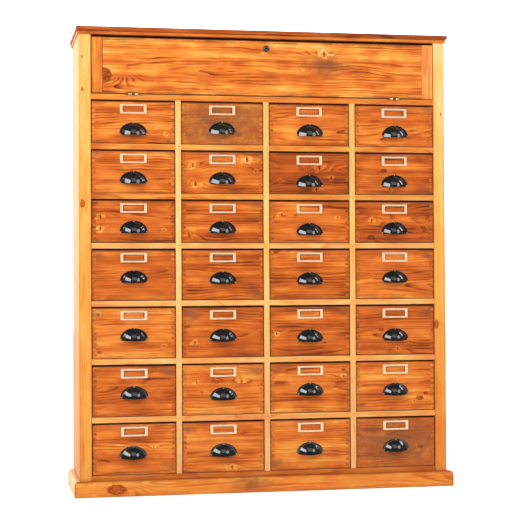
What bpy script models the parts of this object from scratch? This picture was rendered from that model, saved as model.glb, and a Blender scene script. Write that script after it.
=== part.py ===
"""Workshop drawer cabinet in pine: a bank of box-jointed drawers under a drop-front compartment.

Built as its maker would: two-layer sides housed for the shelves, an egg-crate of shelves and
partitions halved over each other, a face stile each side, a moulded top and a mitred plinth.
Every drawer slides towards -Y on its shelf, and the flap turns on two butt hinges at its foot.
The front face of the stiles is at Y zero of the cabinet's empty, and the floor is at Z zero.
"""

import math

import bmesh
import bpy

MM = 0.001

# Fits and cutters
FIT = 0.3 * MM  # gap between two pieces that touch
OVERRUN = 3 * MM  # how far a cutter runs past what it cuts
EMBED = 1 * MM  # how far ironwork fixed on a drawer runs into its front
ARRIS = 1 * MM  # chamfer that takes the edge off a board

# Drawer grid
COLUMNS = 4
SHALLOW_ROWS = 3
DEEP_ROWS = 4
OPENING_WIDTH = 271 * MM
SHALLOW_OPENING = 141 * MM
DEEP_OPENING = 167.5 * MM

# Carcass boards
BOARD = 18 * MM
STILE_WIDTH = 38.5 * MM
DEPTH = 320 * MM
BACK_THICKNESS = 9 * MM
BACK_REBATE = 8 * MM
HOUSING = 6 * MM
HALVING_SHARE = 0.5  # share of the shelf's depth where the partition runs through

# Back boarding
BACK_BOARDS = 11
VEE_WIDTH = 5 * MM
VEE_DEPTH = 2.5 * MM

# Flap compartment
FLAP_OPENING = 190.5 * MM
FLAP_THICKNESS = 18 * MM
FLAP_RECESS = 2.5 * MM
FLAP_END_GAP = 1.5 * MM
FLAP_TOP_GAP = 8 * MM
FLAP_FOOT_GAP = 2 * MM
CLEAT_WIDTH = 37 * MM
TONGUE_LENGTH = 12 * MM
TONGUE_THICKNESS = 6 * MM

# Top board and its moulded edge
TOP_THICKNESS = 24.5 * MM
NOSE_HEIGHT = 14 * MM
NOSE_REACH = 8.5 * MM
NOSE_ROUND = 4.5 * MM
QUIRK_REACH = 2.5 * MM
QUIRK_HEIGHT = 2.5 * MM
OVOLO_REACH = 5 * MM
TOP_FOOT_REACH = 1.5 * MM
ARC_STEPS = 4

# Plinth
PLINTH_HEIGHT = 50 * MM
PLINTH_THICKNESS = 18 * MM
PLINTH_ROUND = 11 * MM
PLINTH_LAP = 2 * MM

# Drawer boxes
DRAWER_RECESS = 3 * MM
DRAWER_SIDE_GAP = 2 * MM
DRAWER_TOP_GAP = 5 * MM
DRAWER_FOOT_GAP = 0.5 * MM
FRONT_THICKNESS = 15 * MM
SIDE_THICKNESS = 13 * MM
BOTTOM_THICKNESS = 6 * MM
BOTTOM_RAISE = 8 * MM

# Card frame
CARD_FRAME_WIDTH = 85.5 * MM
CARD_FRAME_HEIGHT = 30.5 * MM
CARD_FRAME_DEPTH = 3.2 * MM
CARD_FRAME_SIDE = 10 * MM
CARD_FRAME_RAIL = 5 * MM
CARD_FRAME_FACE = 1 * MM
CARD_LIP = 3 * MM
CARD_FRAME_DROP = 8.8 * MM

# Cup pull
PULL_WIDTH = 90 * MM
PULL_HEIGHT = 40 * MM
PULL_DEPTH = 23 * MM
PULL_FLANGE = 1.8 * MM
PULL_EAR = 8.5 * MM
PULL_CREST = 5.5 * MM
PULL_WALL = 2.6 * MM
PULL_ROOT = 0.6 * MM  # how far the cup runs into the front
PULL_LIP = 1 * MM  # height of the cup's rim over the foot of its flange
PULL_GAP = 29.7 * MM
PULL_FLANGE_STEPS = 12
PULL_AROUND_STEPS = 10
PULL_UP_STEPS = 3

# Butt hinges
HINGE_LENGTH = 50 * MM
HINGE_INSET = 135 * MM
LEAF_DEPTH = 15 * MM
LEAF_THICKNESS = 1.2 * MM
BARREL_RADIUS = 3 * MM
PIN_RADIUS = 1.2 * MM
PIN_CLEARANCE = 0.1 * MM  # a running fit
KNUCKLES = 5
BARREL_STEPS = 12
LUG_REACH = 2 * MM  # how far a stop lug stands out of the barrel
LUG_LAP = 4 * MM  # how far a flap leaf's lug runs over the middle knuckle
LUG_TURN = 27  # degrees of the barrel that a lug takes
LUG_GAP = 4  # degrees left between the lugs when the flap is fully open
LUG_FOOT = 35  # degrees from the front up to a flap leaf's lug, shut
OPEN_TURN = 90  # degrees that the flap opens

# Knob
KNOB_RADIUS = 10.5 * MM
KNOB_LENGTH = 22 * MM
KNOB_NECK = 5 * MM
KNOB_FOOT = 7.5 * MM
KNOB_FOOT_HEIGHT = 2 * MM
KNOB_NECK_LENGTH = 8 * MM
KNOB_DROP = 27.5 * MM
KNOB_STEPS = 16
KNOB_HEAD_STEPS = 5

# Catch
CATCH_WIDTH = 44 * MM
CATCH_HEIGHT = 17 * MM
CATCH_DEPTH = 14 * MM
CATCH_FOOT_WIDTH = 62 * MM
CATCH_FOOT_HEIGHT = 2.5 * MM
STRIKE_WIDTH = 38 * MM
STRIKE_HEIGHT = 12 * MM
STRIKE_THICKNESS = 1.5 * MM

# Places worked out from the sizes above
ROWS = SHALLOW_ROWS + DEEP_ROWS
ROW_OPENINGS = [SHALLOW_OPENING] * SHALLOW_ROWS + [DEEP_OPENING] * DEEP_ROWS
CLEAR_WIDTH = COLUMNS * OPENING_WIDTH + (COLUMNS - 1) * BOARD
WIDTH = CLEAR_WIDTH + 2 * STILE_WIDTH
CLEAR_EDGE = CLEAR_WIDTH / 2
OUTER_EDGE = WIDTH / 2
PANEL_FACE = OUTER_EDGE - BOARD
BASE_FOOT = PLINTH_HEIGHT - PLINTH_LAP
BASE_TOP = BASE_FOOT + BOARD
STACK_HEIGHT = sum(ROW_OPENINGS) + (ROWS - 1) * BOARD
FLOOR_FOOT = BASE_TOP + STACK_HEIGHT
FLOOR_TOP = FLOOR_FOOT + BOARD
TOP_FOOT = FLOOR_TOP + FLAP_OPENING
HEIGHT = TOP_FOOT + TOP_THICKNESS
BEHIND_STILE = BOARD + FIT
BACK_FACE = DEPTH - BACK_THICKNESS
SHELF_END = BACK_FACE - FIT
HALVING = SHELF_END * HALVING_SHARE
FRONT_REACH = max(
    PULL_DEPTH - DRAWER_RECESS,
    KNOB_LENGTH - FLAP_RECESS,
    PLINTH_THICKNESS + FIT,
    NOSE_REACH,
)
AXIS_Y = -BARREL_RADIUS - FIT
AXIS_Z = FLOOR_TOP + FLAP_FOOT_GAP / 2


def row_foot(row):
    """Height of the shelf face that a drawer row, counted from the top, stands on."""
    return FLOOR_FOOT - sum(ROW_OPENINGS[: row + 1]) - row * BOARD


def column_middle(column):
    """Middle of a drawer column, counted from the left."""
    return -CLEAR_EDGE + OPENING_WIDTH / 2 + column * (OPENING_WIDTH + BOARD)


def partition_middle(index):
    return column_middle(index) + (OPENING_WIDTH + BOARD) / 2


def clear_scene():
    for obj in list(bpy.data.objects):
        bpy.data.objects.remove(obj)


def material(name, colour, roughness, metallic):
    made = bpy.data.materials.new(name)
    made.use_nodes = True
    shader = made.node_tree.nodes["Principled BSDF"]
    shader.inputs["Base Color"].default_value = (*colour, 1)
    shader.inputs["Roughness"].default_value = roughness
    shader.inputs["Metallic"].default_value = metallic
    return made


def lofted(name, loops, ring=False):
    """A closed mesh through loops with the same number of points, capped at both ends unless
    the last loop joins the first. Loops that shrink to a point or a line are merged."""
    bm = bmesh.new()
    rows = [[bm.verts.new(point) for point in loop] for loop in loops]
    count = len(loops[0])
    follows = list(zip(rows, rows[1:]))
    if ring:
        follows.append((rows[-1], rows[0]))
    else:
        bm.faces.new(reversed(rows[0]))
        bm.faces.new(rows[-1])
    for one, two in follows:
        for i in range(count):
            j = (i + 1) % count
            bm.faces.new((one[i], one[j], two[j], two[i]))
    bmesh.ops.remove_doubles(bm, verts=bm.verts, dist=FIT / 100)
    bmesh.ops.dissolve_degenerate(bm, edges=bm.edges, dist=FIT / 100)
    bmesh.ops.recalc_face_normals(bm, faces=bm.faces)
    mesh = bpy.data.meshes.new(name)
    bm.to_mesh(mesh)
    bm.free()
    return mesh


def along_x(name, outline, low, high):
    """An outline of (y, z) points carried from one x to another."""
    return lofted(name, [[(x, y, z) for y, z in outline] for x in (low, high)])


def along_y(name, outline, low, high):
    """An outline of (x, z) points carried from one y to another."""
    return lofted(name, [[(x, y, z) for x, z in outline] for y in (low, high)])


def along_z(name, outline, low, high):
    """An outline of (x, y) points carried from one z to another."""
    return lofted(name, [[(x, y, z) for x, y in outline] for z in (low, high)])


def rectangle(low, high):
    return [(low[0], low[1]), (high[0], low[1]), (high[0], high[1]), (low[0], high[1])]


def block(name, low, high):
    return along_z(name, rectangle(low, high), low[2], high[2])


def mirrored(mesh, name):
    """A left-hand copy of a right-hand mesh, with its faces turned back out."""
    copy = mesh.copy()
    copy.name = name
    bm = bmesh.new()
    bm.from_mesh(copy)
    for vert in bm.verts:
        vert.co.x = -vert.co.x
    bmesh.ops.reverse_faces(bm, faces=bm.faces)
    bm.to_mesh(copy)
    bm.free()
    return copy


def moved(mesh, offset):
    """The same mesh with its points shifted by an offset."""
    for vert in mesh.vertices:
        for axis in range(3):
            vert.co[axis] += offset[axis]
    return mesh


def combined(name, base, added=(), cut=()):
    """One mesh: the base, joined with the added meshes and then cut by the others."""
    scene = bpy.context.scene.collection
    helpers = []
    body = bpy.data.objects.new(name, base)
    scene.objects.link(body)
    for operation, meshes in (("UNION", added), ("DIFFERENCE", cut)):
        for mesh in meshes:
            helper = bpy.data.objects.new(mesh.name, mesh)
            scene.objects.link(helper)
            helpers.append(helper)
            step = body.modifiers.new(operation, "BOOLEAN")
            step.operation = operation
            step.object = helper
    bpy.context.view_layer.update()
    graph = bpy.context.evaluated_depsgraph_get()
    made = bpy.data.meshes.new_from_object(body.evaluated_get(graph))
    made.name = name
    for helper in [*helpers, body]:
        bpy.data.objects.remove(helper)
    return made


def place(name, mesh, finish, parent, location=(0, 0, 0), arris=0):
    """One named object on its parent empty, with its arrises taken off where asked."""
    obj = bpy.data.objects.new(name, mesh)
    bpy.context.scene.collection.objects.link(obj)
    obj.parent = parent
    obj.location = location
    if not mesh.materials:
        mesh.materials.append(finish)
    if arris:
        edge = obj.modifiers.new("arris", "BEVEL")
        edge.width = arris
        edge.segments = 1
        edge.limit_method = "ANGLE"
    return obj


def empty(name, parent, location):
    obj = bpy.data.objects.new(name, None)
    bpy.context.scene.collection.objects.link(obj)
    obj.parent = parent
    obj.location = location
    return obj


def arc(centre, radius, start, end, steps):
    """Points on an arc, in degrees anticlockwise from the first axis."""
    angles = [math.radians(start + (end - start) * i / steps) for i in range(steps + 1)]
    return [
        (centre[0] + radius * math.cos(a), centre[1] + radius * math.sin(a))
        for a in angles
    ]


def shelf_outline():
    """A shelf from above: its ends in their housings, notched for the stiles and partitions."""
    edge = CLEAR_EDGE - FIT
    end = CLEAR_EDGE + HOUSING - FIT
    half_slot = BOARD / 2 + FIT
    points = [(-edge, 0)]
    for index in range(COLUMNS - 1):
        middle = partition_middle(index)
        points += [
            (middle - half_slot, 0),
            (middle - half_slot, HALVING),
            (middle + half_slot, HALVING),
            (middle + half_slot, 0),
        ]
    points += [
        (edge, 0),
        (edge, BEHIND_STILE),
        (end, BEHIND_STILE),
        (end, SHELF_END),
        (-end, SHELF_END),
        (-end, BEHIND_STILE),
        (-edge, BEHIND_STILE),
    ]
    return points


def full_board_outline():
    """The base board or compartment floor from above: as a shelf, with no partition slots."""
    edge = CLEAR_EDGE - FIT
    end = CLEAR_EDGE + HOUSING - FIT
    return [
        (-edge, 0),
        (edge, 0),
        (edge, BEHIND_STILE),
        (end, BEHIND_STILE),
        (end, SHELF_END),
        (-end, SHELF_END),
        (-end, BEHIND_STILE),
        (-edge, BEHIND_STILE),
    ]


def shelf_feet():
    """The underside of every housed board, from the base board up to the compartment floor."""
    between = [row_foot(row) - BOARD for row in range(ROWS - 2, -1, -1)]
    return [BASE_FOOT, *between, FLOOR_FOOT]


def lining_outline():
    """Right-hand lining from the front: a housing in its inner face for every board's end."""
    back = PANEL_FACE - FIT
    points = [(back, BASE_FOOT), (back, TOP_FOOT - FIT), (CLEAR_EDGE, TOP_FOOT - FIT)]
    for foot in reversed(shelf_feet()[1:]):
        points += [
            (CLEAR_EDGE, foot + BOARD + FIT),
            (CLEAR_EDGE + HOUSING, foot + BOARD + FIT),
            (CLEAR_EDGE + HOUSING, foot - FIT),
            (CLEAR_EDGE, foot - FIT),
        ]
    points += [
        (CLEAR_EDGE, BASE_TOP + FIT),
        (CLEAR_EDGE + HOUSING, BASE_TOP + FIT),
        (CLEAR_EDGE + HOUSING, BASE_FOOT),
    ]
    return points


def partition_outline():
    """A partition from the side: slots in its back half, where the shelves run through."""
    foot = BASE_TOP + FIT
    head = FLOOR_FOOT - FIT
    points = [(0, foot), (SHELF_END, foot)]
    for low in shelf_feet()[1:-1]:
        points += [
            (SHELF_END, low - FIT),
            (HALVING - FIT, low - FIT),
            (HALVING - FIT, low + BOARD + FIT),
            (SHELF_END, low + BOARD + FIT),
        ]
    points += [(SHELF_END, head), (0, head)]
    return points


def back_outline():
    """The back boarding from above, with a vee between every two boards."""
    edge = PANEL_FACE + BACK_REBATE - FIT
    pitch = 2 * edge / BACK_BOARDS
    points = [(-edge, BACK_FACE), (edge, BACK_FACE), (edge, DEPTH)]
    for index in range(BACK_BOARDS - 1, 0, -1):
        middle = -edge + index * pitch
        points += [
            (middle + VEE_WIDTH / 2, DEPTH),
            (middle, DEPTH - VEE_DEPTH),
            (middle - VEE_WIDTH / 2, DEPTH),
        ]
    points.append((-edge, DEPTH))
    return points


def top_profile():
    """(reach, height) up the moulded edge: foot fillet, ovolo, quirk, then a round nose."""
    ovolo_height = TOP_THICKNESS - NOSE_HEIGHT - QUIRK_HEIGHT
    ovolo = [
        (
            TOP_FOOT_REACH + (OVOLO_REACH - TOP_FOOT_REACH) * math.sin(angle),
            ovolo_height * (1 - math.cos(angle)),
        )
        for angle in (math.pi / 2 * i / ARC_STEPS for i in range(ARC_STEPS + 1))
    ]
    quirk = [(QUIRK_REACH, ovolo_height), (QUIRK_REACH, TOP_THICKNESS - NOSE_HEIGHT)]
    nose_foot = TOP_THICKNESS - NOSE_HEIGHT
    low = arc((NOSE_REACH - NOSE_ROUND, nose_foot + NOSE_ROUND), NOSE_ROUND, -90, 0, ARC_STEPS)
    high = arc((NOSE_REACH - NOSE_ROUND, TOP_THICKNESS - NOSE_ROUND), NOSE_ROUND, 0, 90, ARC_STEPS)
    return [*ovolo, *quirk, *low, *high]


def top_board(wood, carcass):
    """Moulded on the front and both ends, and square at the back."""
    loops = [
        [
            (-OUTER_EDGE - reach, -reach, TOP_FOOT + up),
            (OUTER_EDGE + reach, -reach, TOP_FOOT + up),
            (OUTER_EDGE + reach, DEPTH, TOP_FOOT + up),
            (-OUTER_EDGE - reach, DEPTH, TOP_FOOT + up),
        ]
        for reach, up in top_profile()
    ]
    place("top_board", lofted("top_board", loops), wood, carcass)


def plinth_profile():
    """(reach, height) round a plinth board, seen on its end, with a rounded upper front edge."""
    inner = FIT
    outer = FIT + PLINTH_THICKNESS
    nose = arc(
        (outer - PLINTH_ROUND, PLINTH_HEIGHT - PLINTH_ROUND), PLINTH_ROUND, 0, 90, ARC_STEPS
    )
    return [(inner, 0), (outer, 0), *nose, (inner, PLINTH_HEIGHT)]


def plinth(wood, carcass):
    """Front board and two returns, mitred where they meet."""
    profile = plinth_profile()
    half_gap = FIT / 2
    ends = [
        [(side * (OUTER_EDGE + reach - half_gap), -reach, up) for reach, up in profile]
        for side in (-1, 1)
    ]
    place("plinth_front", lofted("plinth_front", ends), wood, carcass)
    loops = [
        [(OUTER_EDGE + reach, -reach + half_gap, up) for reach, up in profile],
        [(OUTER_EDGE + reach, DEPTH, up) for reach, up in profile],
    ]
    right = lofted("plinth_right", loops)
    place("plinth_left", mirrored(right, "plinth_left"), wood, carcass)
    place("plinth_right", right, wood, carcass)


def sides(wood, carcass):
    """Outer panel, housed lining and face stile, for each side."""
    panel = combined(
        "side_panel_right",
        block("panel", (PANEL_FACE, BEHIND_STILE, 0), (OUTER_EDGE, DEPTH, TOP_FOOT - FIT)),
        cut=[
            block(
                "rebate",
                (PANEL_FACE - OVERRUN, SHELF_END, -OVERRUN),
                (PANEL_FACE + BACK_REBATE, DEPTH + OVERRUN, TOP_FOOT + OVERRUN),
            )
        ],
    )
    lining = along_y("side_lining_right", lining_outline(), BEHIND_STILE, SHELF_END)
    stile = block("stile_right", (CLEAR_EDGE, 0, 0), (OUTER_EDGE, BOARD, TOP_FOOT - FIT))
    for name, mesh, arris in (
        ("side_panel", panel, 0),
        ("side_lining", lining, 0),
        ("stile", stile, ARRIS),
    ):
        left = mirrored(mesh, name + "_left")
        place(name + "_left", left, wood, carcass, arris=arris)
        place(name + "_right", mesh, wood, carcass, arris=arris)


def grid(wood, carcass):
    """Base board, shelves, partitions, compartment floor and back boarding."""
    base = along_z("base_board", full_board_outline(), BASE_FOOT, BASE_TOP)
    place("base_board", base, wood, carcass)
    shelf = along_z("drawer_shelf", shelf_outline(), 0, BOARD)
    for number, foot in enumerate(reversed(shelf_feet()[1:-1]), 1):
        place(f"drawer_shelf_{number}", shelf, wood, carcass, (0, 0, foot))
    partition = along_x("partition", partition_outline(), -BOARD / 2, BOARD / 2)
    for index in range(COLUMNS - 1):
        where = (partition_middle(index), 0, 0)
        place(f"partition_{index + 1}", partition, wood, carcass, where)
    back = along_z("back_panel", back_outline(), BASE_FOOT, TOP_FOOT - FIT)
    place("back_panel", back, wood, carcass)


def hinge_middle():
    return CLEAR_EDGE - HINGE_INSET


def compartment_floor(wood, carcass):
    """The board over the drawers, let in at its front edge for the hinge leaves."""
    board = along_z("compartment_floor", full_board_outline(), FLOOR_FOOT, FLOOR_TOP)
    half = HINGE_LENGTH / 2 + FIT
    seat = leaf_gap_foot() - LEAF_THICKNESS - FIT
    lets = [
        block(
            "let",
            (middle - half, -OVERRUN, seat),
            (middle + half, LEAF_DEPTH + FIT, FLOOR_TOP + OVERRUN),
        )
        for middle in (-hinge_middle(), hinge_middle())
    ]
    made = combined("compartment_floor", board, cut=lets)
    place("compartment_floor", made, wood, carcass)


def leaf_gap_foot():
    """Top face of the fixed leaf, just under the hinge's axis."""
    return AXIS_Z - FIT


def barrel(name, radius, low, high):
    """A round bar along the hinge's axis, which is at the origin."""
    turn = 180 / BARREL_STEPS
    outline = arc((0, 0), radius, turn, 360 + turn, BARREL_STEPS)[:-1]
    return along_x(name, outline, low, high)


def lug(name, start, turn, radii, low, high):
    """Part of a ring on the barrel, from start to start and turn in degrees above the front,
    between two radii and along x."""
    corners = [
        (-radius * math.cos(math.radians(angle)), radius * math.sin(math.radians(angle)))
        for radius, angle in (
            (radii[0], start),
            (radii[1], start),
            (radii[1], start + turn),
            (radii[0], start + turn),
        )
    ]
    return along_x(name, corners, low, high)


def hinge_leaf(name, first, up):
    """One leaf about an axis at the origin: its plate, and every second knuckle from first.
    A fixed leaf, first 0, carries the pin; the other is bored for it. The fixed middle knuckle
    has a lug, which lugs on the turning leaf meet when the flap is fully open."""
    pitch = HINGE_LENGTH / KNUCKLES
    inner, outer = (FIT, FIT + LEAF_THICKNESS) if up else (-FIT - LEAF_THICKNESS, -FIT)
    behind = BARREL_RADIUS + FIT
    back = LEAF_DEPTH - AXIS_Y
    end = HINGE_LENGTH / 2
    plate = block(name, (-end, behind, inner), (end, back, outer))
    added = []
    for knuckle in range(first, KNUCKLES, 2):
        low = -end + knuckle * pitch + (FIT if knuckle else 0)
        high = low + pitch - FIT * (2 if 0 < knuckle < KNUCKLES - 1 else 1)
        added.append(barrel("knuckle", BARREL_RADIUS, low, high))
        strap = (low, PIN_RADIUS + PIN_CLEARANCE, inner), (high, behind + FIT, outer)
        added.append(block("strap", *strap))
    middle = pitch / 2 - FIT
    head = BARREL_RADIUS + LUG_REACH
    if first == 0:
        added.append(barrel("pin", PIN_RADIUS, -end + pitch / 2, end - pitch / 2))
        start = LUG_FOOT - OPEN_TURN - LUG_GAP - LUG_TURN
        radii = (BARREL_RADIUS - FIT, head)
        added.append(lug("lug", start, LUG_TURN, radii, -middle + FIT, middle - FIT))
        return combined(name, plate, added=added)
    for side in (-1, 1):
        web = sorted((side * (pitch / 2 + 2 * FIT), side * (pitch * 3 / 2 - 2 * FIT)))
        lap = sorted((side * (middle - LUG_LAP), side * (pitch * 3 / 2 - FIT)))
        start, turn = LUG_FOOT + LUG_GAP, LUG_TURN - 2 * LUG_GAP
        added.append(lug("lug_web", start, turn, (BARREL_RADIUS - FIT, head - FIT), *web))
        added.append(lug("lug_lap", LUG_FOOT, LUG_TURN, (BARREL_RADIUS + FIT, head), *lap))
    bore = barrel("bore", PIN_RADIUS + PIN_CLEARANCE, -end, end)
    return combined(name, plate, added=added, cut=[bore])


def hinges(steel, carcass, flap):
    fixed = hinge_leaf("hinge_carcass_leaf", 0, up=False)
    turning = hinge_leaf("hinge_flap_leaf", 1, up=True)
    for side, middle in (("left", -hinge_middle()), ("right", hinge_middle())):
        place(f"hinge_carcass_leaf_{side}", fixed, steel, carcass, (middle, AXIS_Y, AXIS_Z))
        place(f"hinge_flap_leaf_{side}", turning, steel, flap, (middle, 0, 0))


def flap_boards(wood, flap):
    """The flap's field and its two end cleats, tongued together. Sizes are from the hinge axis."""
    front = FLAP_RECESS - AXIS_Y
    back = front + FLAP_THICKNESS
    foot = FLOOR_TOP + FLAP_FOOT_GAP - AXIS_Z
    head = TOP_FOOT - FLAP_TOP_GAP - AXIS_Z
    end = CLEAR_EDGE - FLAP_END_GAP
    shoulder = end - CLEAT_WIDTH
    tongue = shoulder + TONGUE_LENGTH
    middle = (front + back) / 2
    half = TONGUE_THICKNESS / 2
    field = [
        (-shoulder, front),
        (shoulder, front),
        (shoulder, middle - half),
        (tongue, middle - half),
        (tongue, middle + half),
        (shoulder, middle + half),
        (shoulder, back),
        (-shoulder, back),
        (-shoulder, middle + half),
        (-tongue, middle + half),
        (-tongue, middle - half),
        (-shoulder, middle - half),
    ]
    reach = HINGE_LENGTH / 2 + FIT
    seat = FIT + LEAF_THICKNESS + FIT
    lets = [
        block(
            "let",
            (where - reach, front - OVERRUN, foot - OVERRUN),
            (where + reach, LEAF_DEPTH - AXIS_Y + FIT, seat),
        )
        for where in (-hinge_middle(), hinge_middle())
    ]
    panel = combined("flap_panel", along_z("field", field, foot, head), cut=lets)
    place("flap_panel", panel, wood, flap)
    inner = shoulder + FIT
    cleat = [
        (inner, front),
        (end, front),
        (end, back),
        (inner, back),
        (inner, middle + half + FIT),
        (tongue + FIT, middle + half + FIT),
        (tongue + FIT, middle - half - FIT),
        (inner, middle - half - FIT),
    ]
    right = along_z("flap_cleat_right", cleat, foot, head)
    place("flap_cleat_left", mirrored(right, "flap_cleat_left"), wood, flap)
    place("flap_cleat_right", right, wood, flap)


def knob_profile():
    """(radius, distance from the flap) along the turned knob: foot, waist and domed head."""
    head_start = KNOB_NECK_LENGTH
    head_length = KNOB_LENGTH - head_start
    profile = [
        (KNOB_FOOT, FIT),
        (KNOB_FOOT, KNOB_FOOT_HEIGHT),
        (KNOB_NECK, KNOB_FOOT_HEIGHT + KNOB_FOOT_HEIGHT / 2),
        (KNOB_NECK, head_start),
    ]
    start = math.asin(KNOB_NECK / KNOB_RADIUS)
    for step in range(1, KNOB_HEAD_STEPS + 1):
        angle = start + (math.pi - start) * step / KNOB_HEAD_STEPS
        fall = (math.cos(start) - math.cos(angle)) / (math.cos(start) + 1)
        profile.append((KNOB_RADIUS * math.sin(angle), head_start + head_length * fall))
    return profile


def knob(iron, flap):
    front = FLAP_RECESS - AXIS_Y
    height = TOP_FOOT - FLAP_TOP_GAP - KNOB_DROP - AXIS_Z
    loops = [
        [(x, front - out, height + z) for x, z in arc((0, 0), radius, 0, 360, KNOB_STEPS)[:-1]]
        for radius, out in knob_profile()
    ]
    place("flap_knob", lofted("flap_knob", loops), iron, flap)


def catch(iron, steel, carcass, flap):
    """A magnetic catch under the top board, which also stops the flap, and its strike plate."""
    face = FLAP_RECESS + FLAP_THICKNESS
    contact = face + FIT + STRIKE_THICKNESS + FIT
    head = TOP_FOOT - FIT
    outline = [
        (-CATCH_FOOT_WIDTH / 2, head),
        (-CATCH_FOOT_WIDTH / 2, head - CATCH_FOOT_HEIGHT),
        (-CATCH_WIDTH / 2, head - CATCH_FOOT_HEIGHT),
        (-CATCH_WIDTH / 2, head - CATCH_HEIGHT),
        (CATCH_WIDTH / 2, head - CATCH_HEIGHT),
        (CATCH_WIDTH / 2, head - CATCH_FOOT_HEIGHT),
        (CATCH_FOOT_WIDTH / 2, head - CATCH_FOOT_HEIGHT),
        (CATCH_FOOT_WIDTH / 2, head),
    ]
    body = along_y("flap_catch", outline, contact, contact + CATCH_DEPTH)
    place("flap_catch", body, iron, carcass)
    middle = TOP_FOOT - FLAP_TOP_GAP - FIT - STRIKE_HEIGHT / 2 - AXIS_Z
    strike = block(
        "flap_strike_plate",
        (-STRIKE_WIDTH / 2, face + FIT - AXIS_Y, middle - STRIKE_HEIGHT / 2),
        (STRIKE_WIDTH / 2, face + FIT + STRIKE_THICKNESS - AXIS_Y, middle + STRIKE_HEIGHT / 2),
    )
    place("flap_strike_plate", strike, steel, flap)


def tray(width, depth, height):
    """Drawer box, from its front's lower middle: open on top, its bottom let in above the feet."""
    outer = rectangle((-width / 2, 0), (width / 2, depth))
    inner = rectangle(
        (-width / 2 + SIDE_THICKNESS, FRONT_THICKNESS),
        (width / 2 - SIDE_THICKNESS, depth - SIDE_THICKNESS),
    )
    levels = [
        (inner, BOTTOM_RAISE),
        (inner, 0),
        (outer, 0),
        (outer, height),
        (inner, height),
        (inner, BOTTOM_RAISE + BOTTOM_THICKNESS),
    ]
    return lofted("tray", [[(x, y, z) for x, y in loop] for loop, z in levels])


def dome(name, half_width, height, depth, behind, foot, below):
    """A quarter of an ellipsoid that starts in the wood, as plan half-ellipses that shrink
    upwards from its foot, run straight down by below."""
    levels = [
        (math.cos(a), foot + height * math.sin(a))
        for a in (math.pi / 2 * i / PULL_UP_STEPS for i in range(PULL_UP_STEPS + 1))
    ]
    if below:
        levels.insert(0, (1, foot - below))
    angles = [math.pi * i / PULL_AROUND_STEPS for i in range(PULL_AROUND_STEPS + 1)]
    reach = depth + behind
    loops = [
        [
            (half_width * share * math.cos(a), behind - reach * share * math.sin(a), z)
            for a in angles
        ]
        for share, z in levels
    ]
    return lofted(name, loops)


def cup_pull():
    """A cup pull from the middle of its lower edge on the drawer front: an arched flange with
    ears, and a hooded cup that is open below for the fingers."""
    half = PULL_WIDTH / 2
    angles = [math.pi * i / PULL_FLANGE_STEPS for i in range(PULL_FLANGE_STEPS + 1)]
    arch = [(half * math.cos(a), PULL_HEIGHT * math.sin(a)) for a in angles]
    flange = along_y("flange", arch, -PULL_FLANGE, EMBED)
    width, height = half - PULL_EAR, PULL_HEIGHT - PULL_CREST - PULL_LIP
    cup = dome("cup", width, height, PULL_DEPTH, PULL_ROOT, PULL_LIP, 0)
    hollow = dome(
        "hollow",
        width - PULL_WALL,
        height - PULL_WALL,
        PULL_DEPTH - PULL_WALL,
        EMBED + OVERRUN,
        PULL_LIP,
        PULL_LIP + OVERRUN,
    )
    return combined("cup_pull", flange, added=[cup], cut=[hollow])


def card_frame():
    """A card frame from its middle: a face with a window, stood off so that a card slips in."""
    half = (CARD_FRAME_WIDTH / 2, CARD_FRAME_HEIGHT / 2)
    window = (half[0] - CARD_FRAME_SIDE, half[1] - CARD_FRAME_RAIL)
    pocket = (window[0] + CARD_LIP, window[1] + CARD_LIP)
    front = -CARD_FRAME_DEPTH
    levels = [
        (half, EMBED),
        (half, front),
        (window, front),
        (window, front + CARD_FRAME_FACE),
        (pocket, front + CARD_FRAME_FACE),
        (pocket, EMBED),
    ]
    loops = [
        [(x, y, z) for x, z in rectangle((-size[0], -size[1]), size)] for size, y in levels
    ]
    return lofted("card_frame", loops, ring=True)


def drawer_mesh(name, opening):
    """One drawer for an opening height: box, card frame and cup pull as they are fixed."""
    width = OPENING_WIDTH - 2 * DRAWER_SIDE_GAP
    depth = SHELF_END - DRAWER_RECESS
    height = opening - DRAWER_TOP_GAP - DRAWER_FOOT_GAP
    frame_middle = height - CARD_FRAME_DROP - CARD_FRAME_HEIGHT / 2
    pull_foot = height - CARD_FRAME_DROP - CARD_FRAME_HEIGHT - PULL_GAP - PULL_HEIGHT
    frame = moved(card_frame(), (0, 0, frame_middle))
    pull = moved(cup_pull(), (0, 0, pull_foot))
    return combined(name, tray(width, depth, height), added=[frame, pull])


def drawers(wood, carcass):
    meshes = {opening: drawer_mesh("drawer", opening) for opening in set(ROW_OPENINGS)}
    for row, opening in enumerate(ROW_OPENINGS):
        for column in range(COLUMNS):
            where = (column_middle(column), DRAWER_RECESS, row_foot(row) + DRAWER_FOOT_GAP)
            name = f"drawer_row{row + 1}_col{column + 1}"
            place(name, meshes[opening], wood, carcass, where)


def main():
    clear_scene()
    carcass_pine = material("carcass_pine", (0.80, 0.42, 0.13), 0.45, 0)
    drawer_pine = material("drawer_pine", (0.62, 0.25, 0.07), 0.45, 0)
    iron = material("black_iron", (0.02, 0.02, 0.02), 0.3, 0.6)
    steel = material("aged_brass", (0.62, 0.45, 0.24), 0.4, 1)
    carcass = empty("cabinet", None, (0, (FRONT_REACH - DEPTH) / 2, 0))
    flap = empty("flap_axis", carcass, (0, AXIS_Y, AXIS_Z))
    sides(carcass_pine, carcass)
    grid(carcass_pine, carcass)
    compartment_floor(carcass_pine, carcass)
    top_board(carcass_pine, carcass)
    plinth(carcass_pine, carcass)
    flap_boards(carcass_pine, flap)
    hinges(steel, carcass, flap)
    knob(iron, flap)
    catch(iron, steel, carcass, flap)
    drawers(drawer_pine, carcass)


main()
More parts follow.
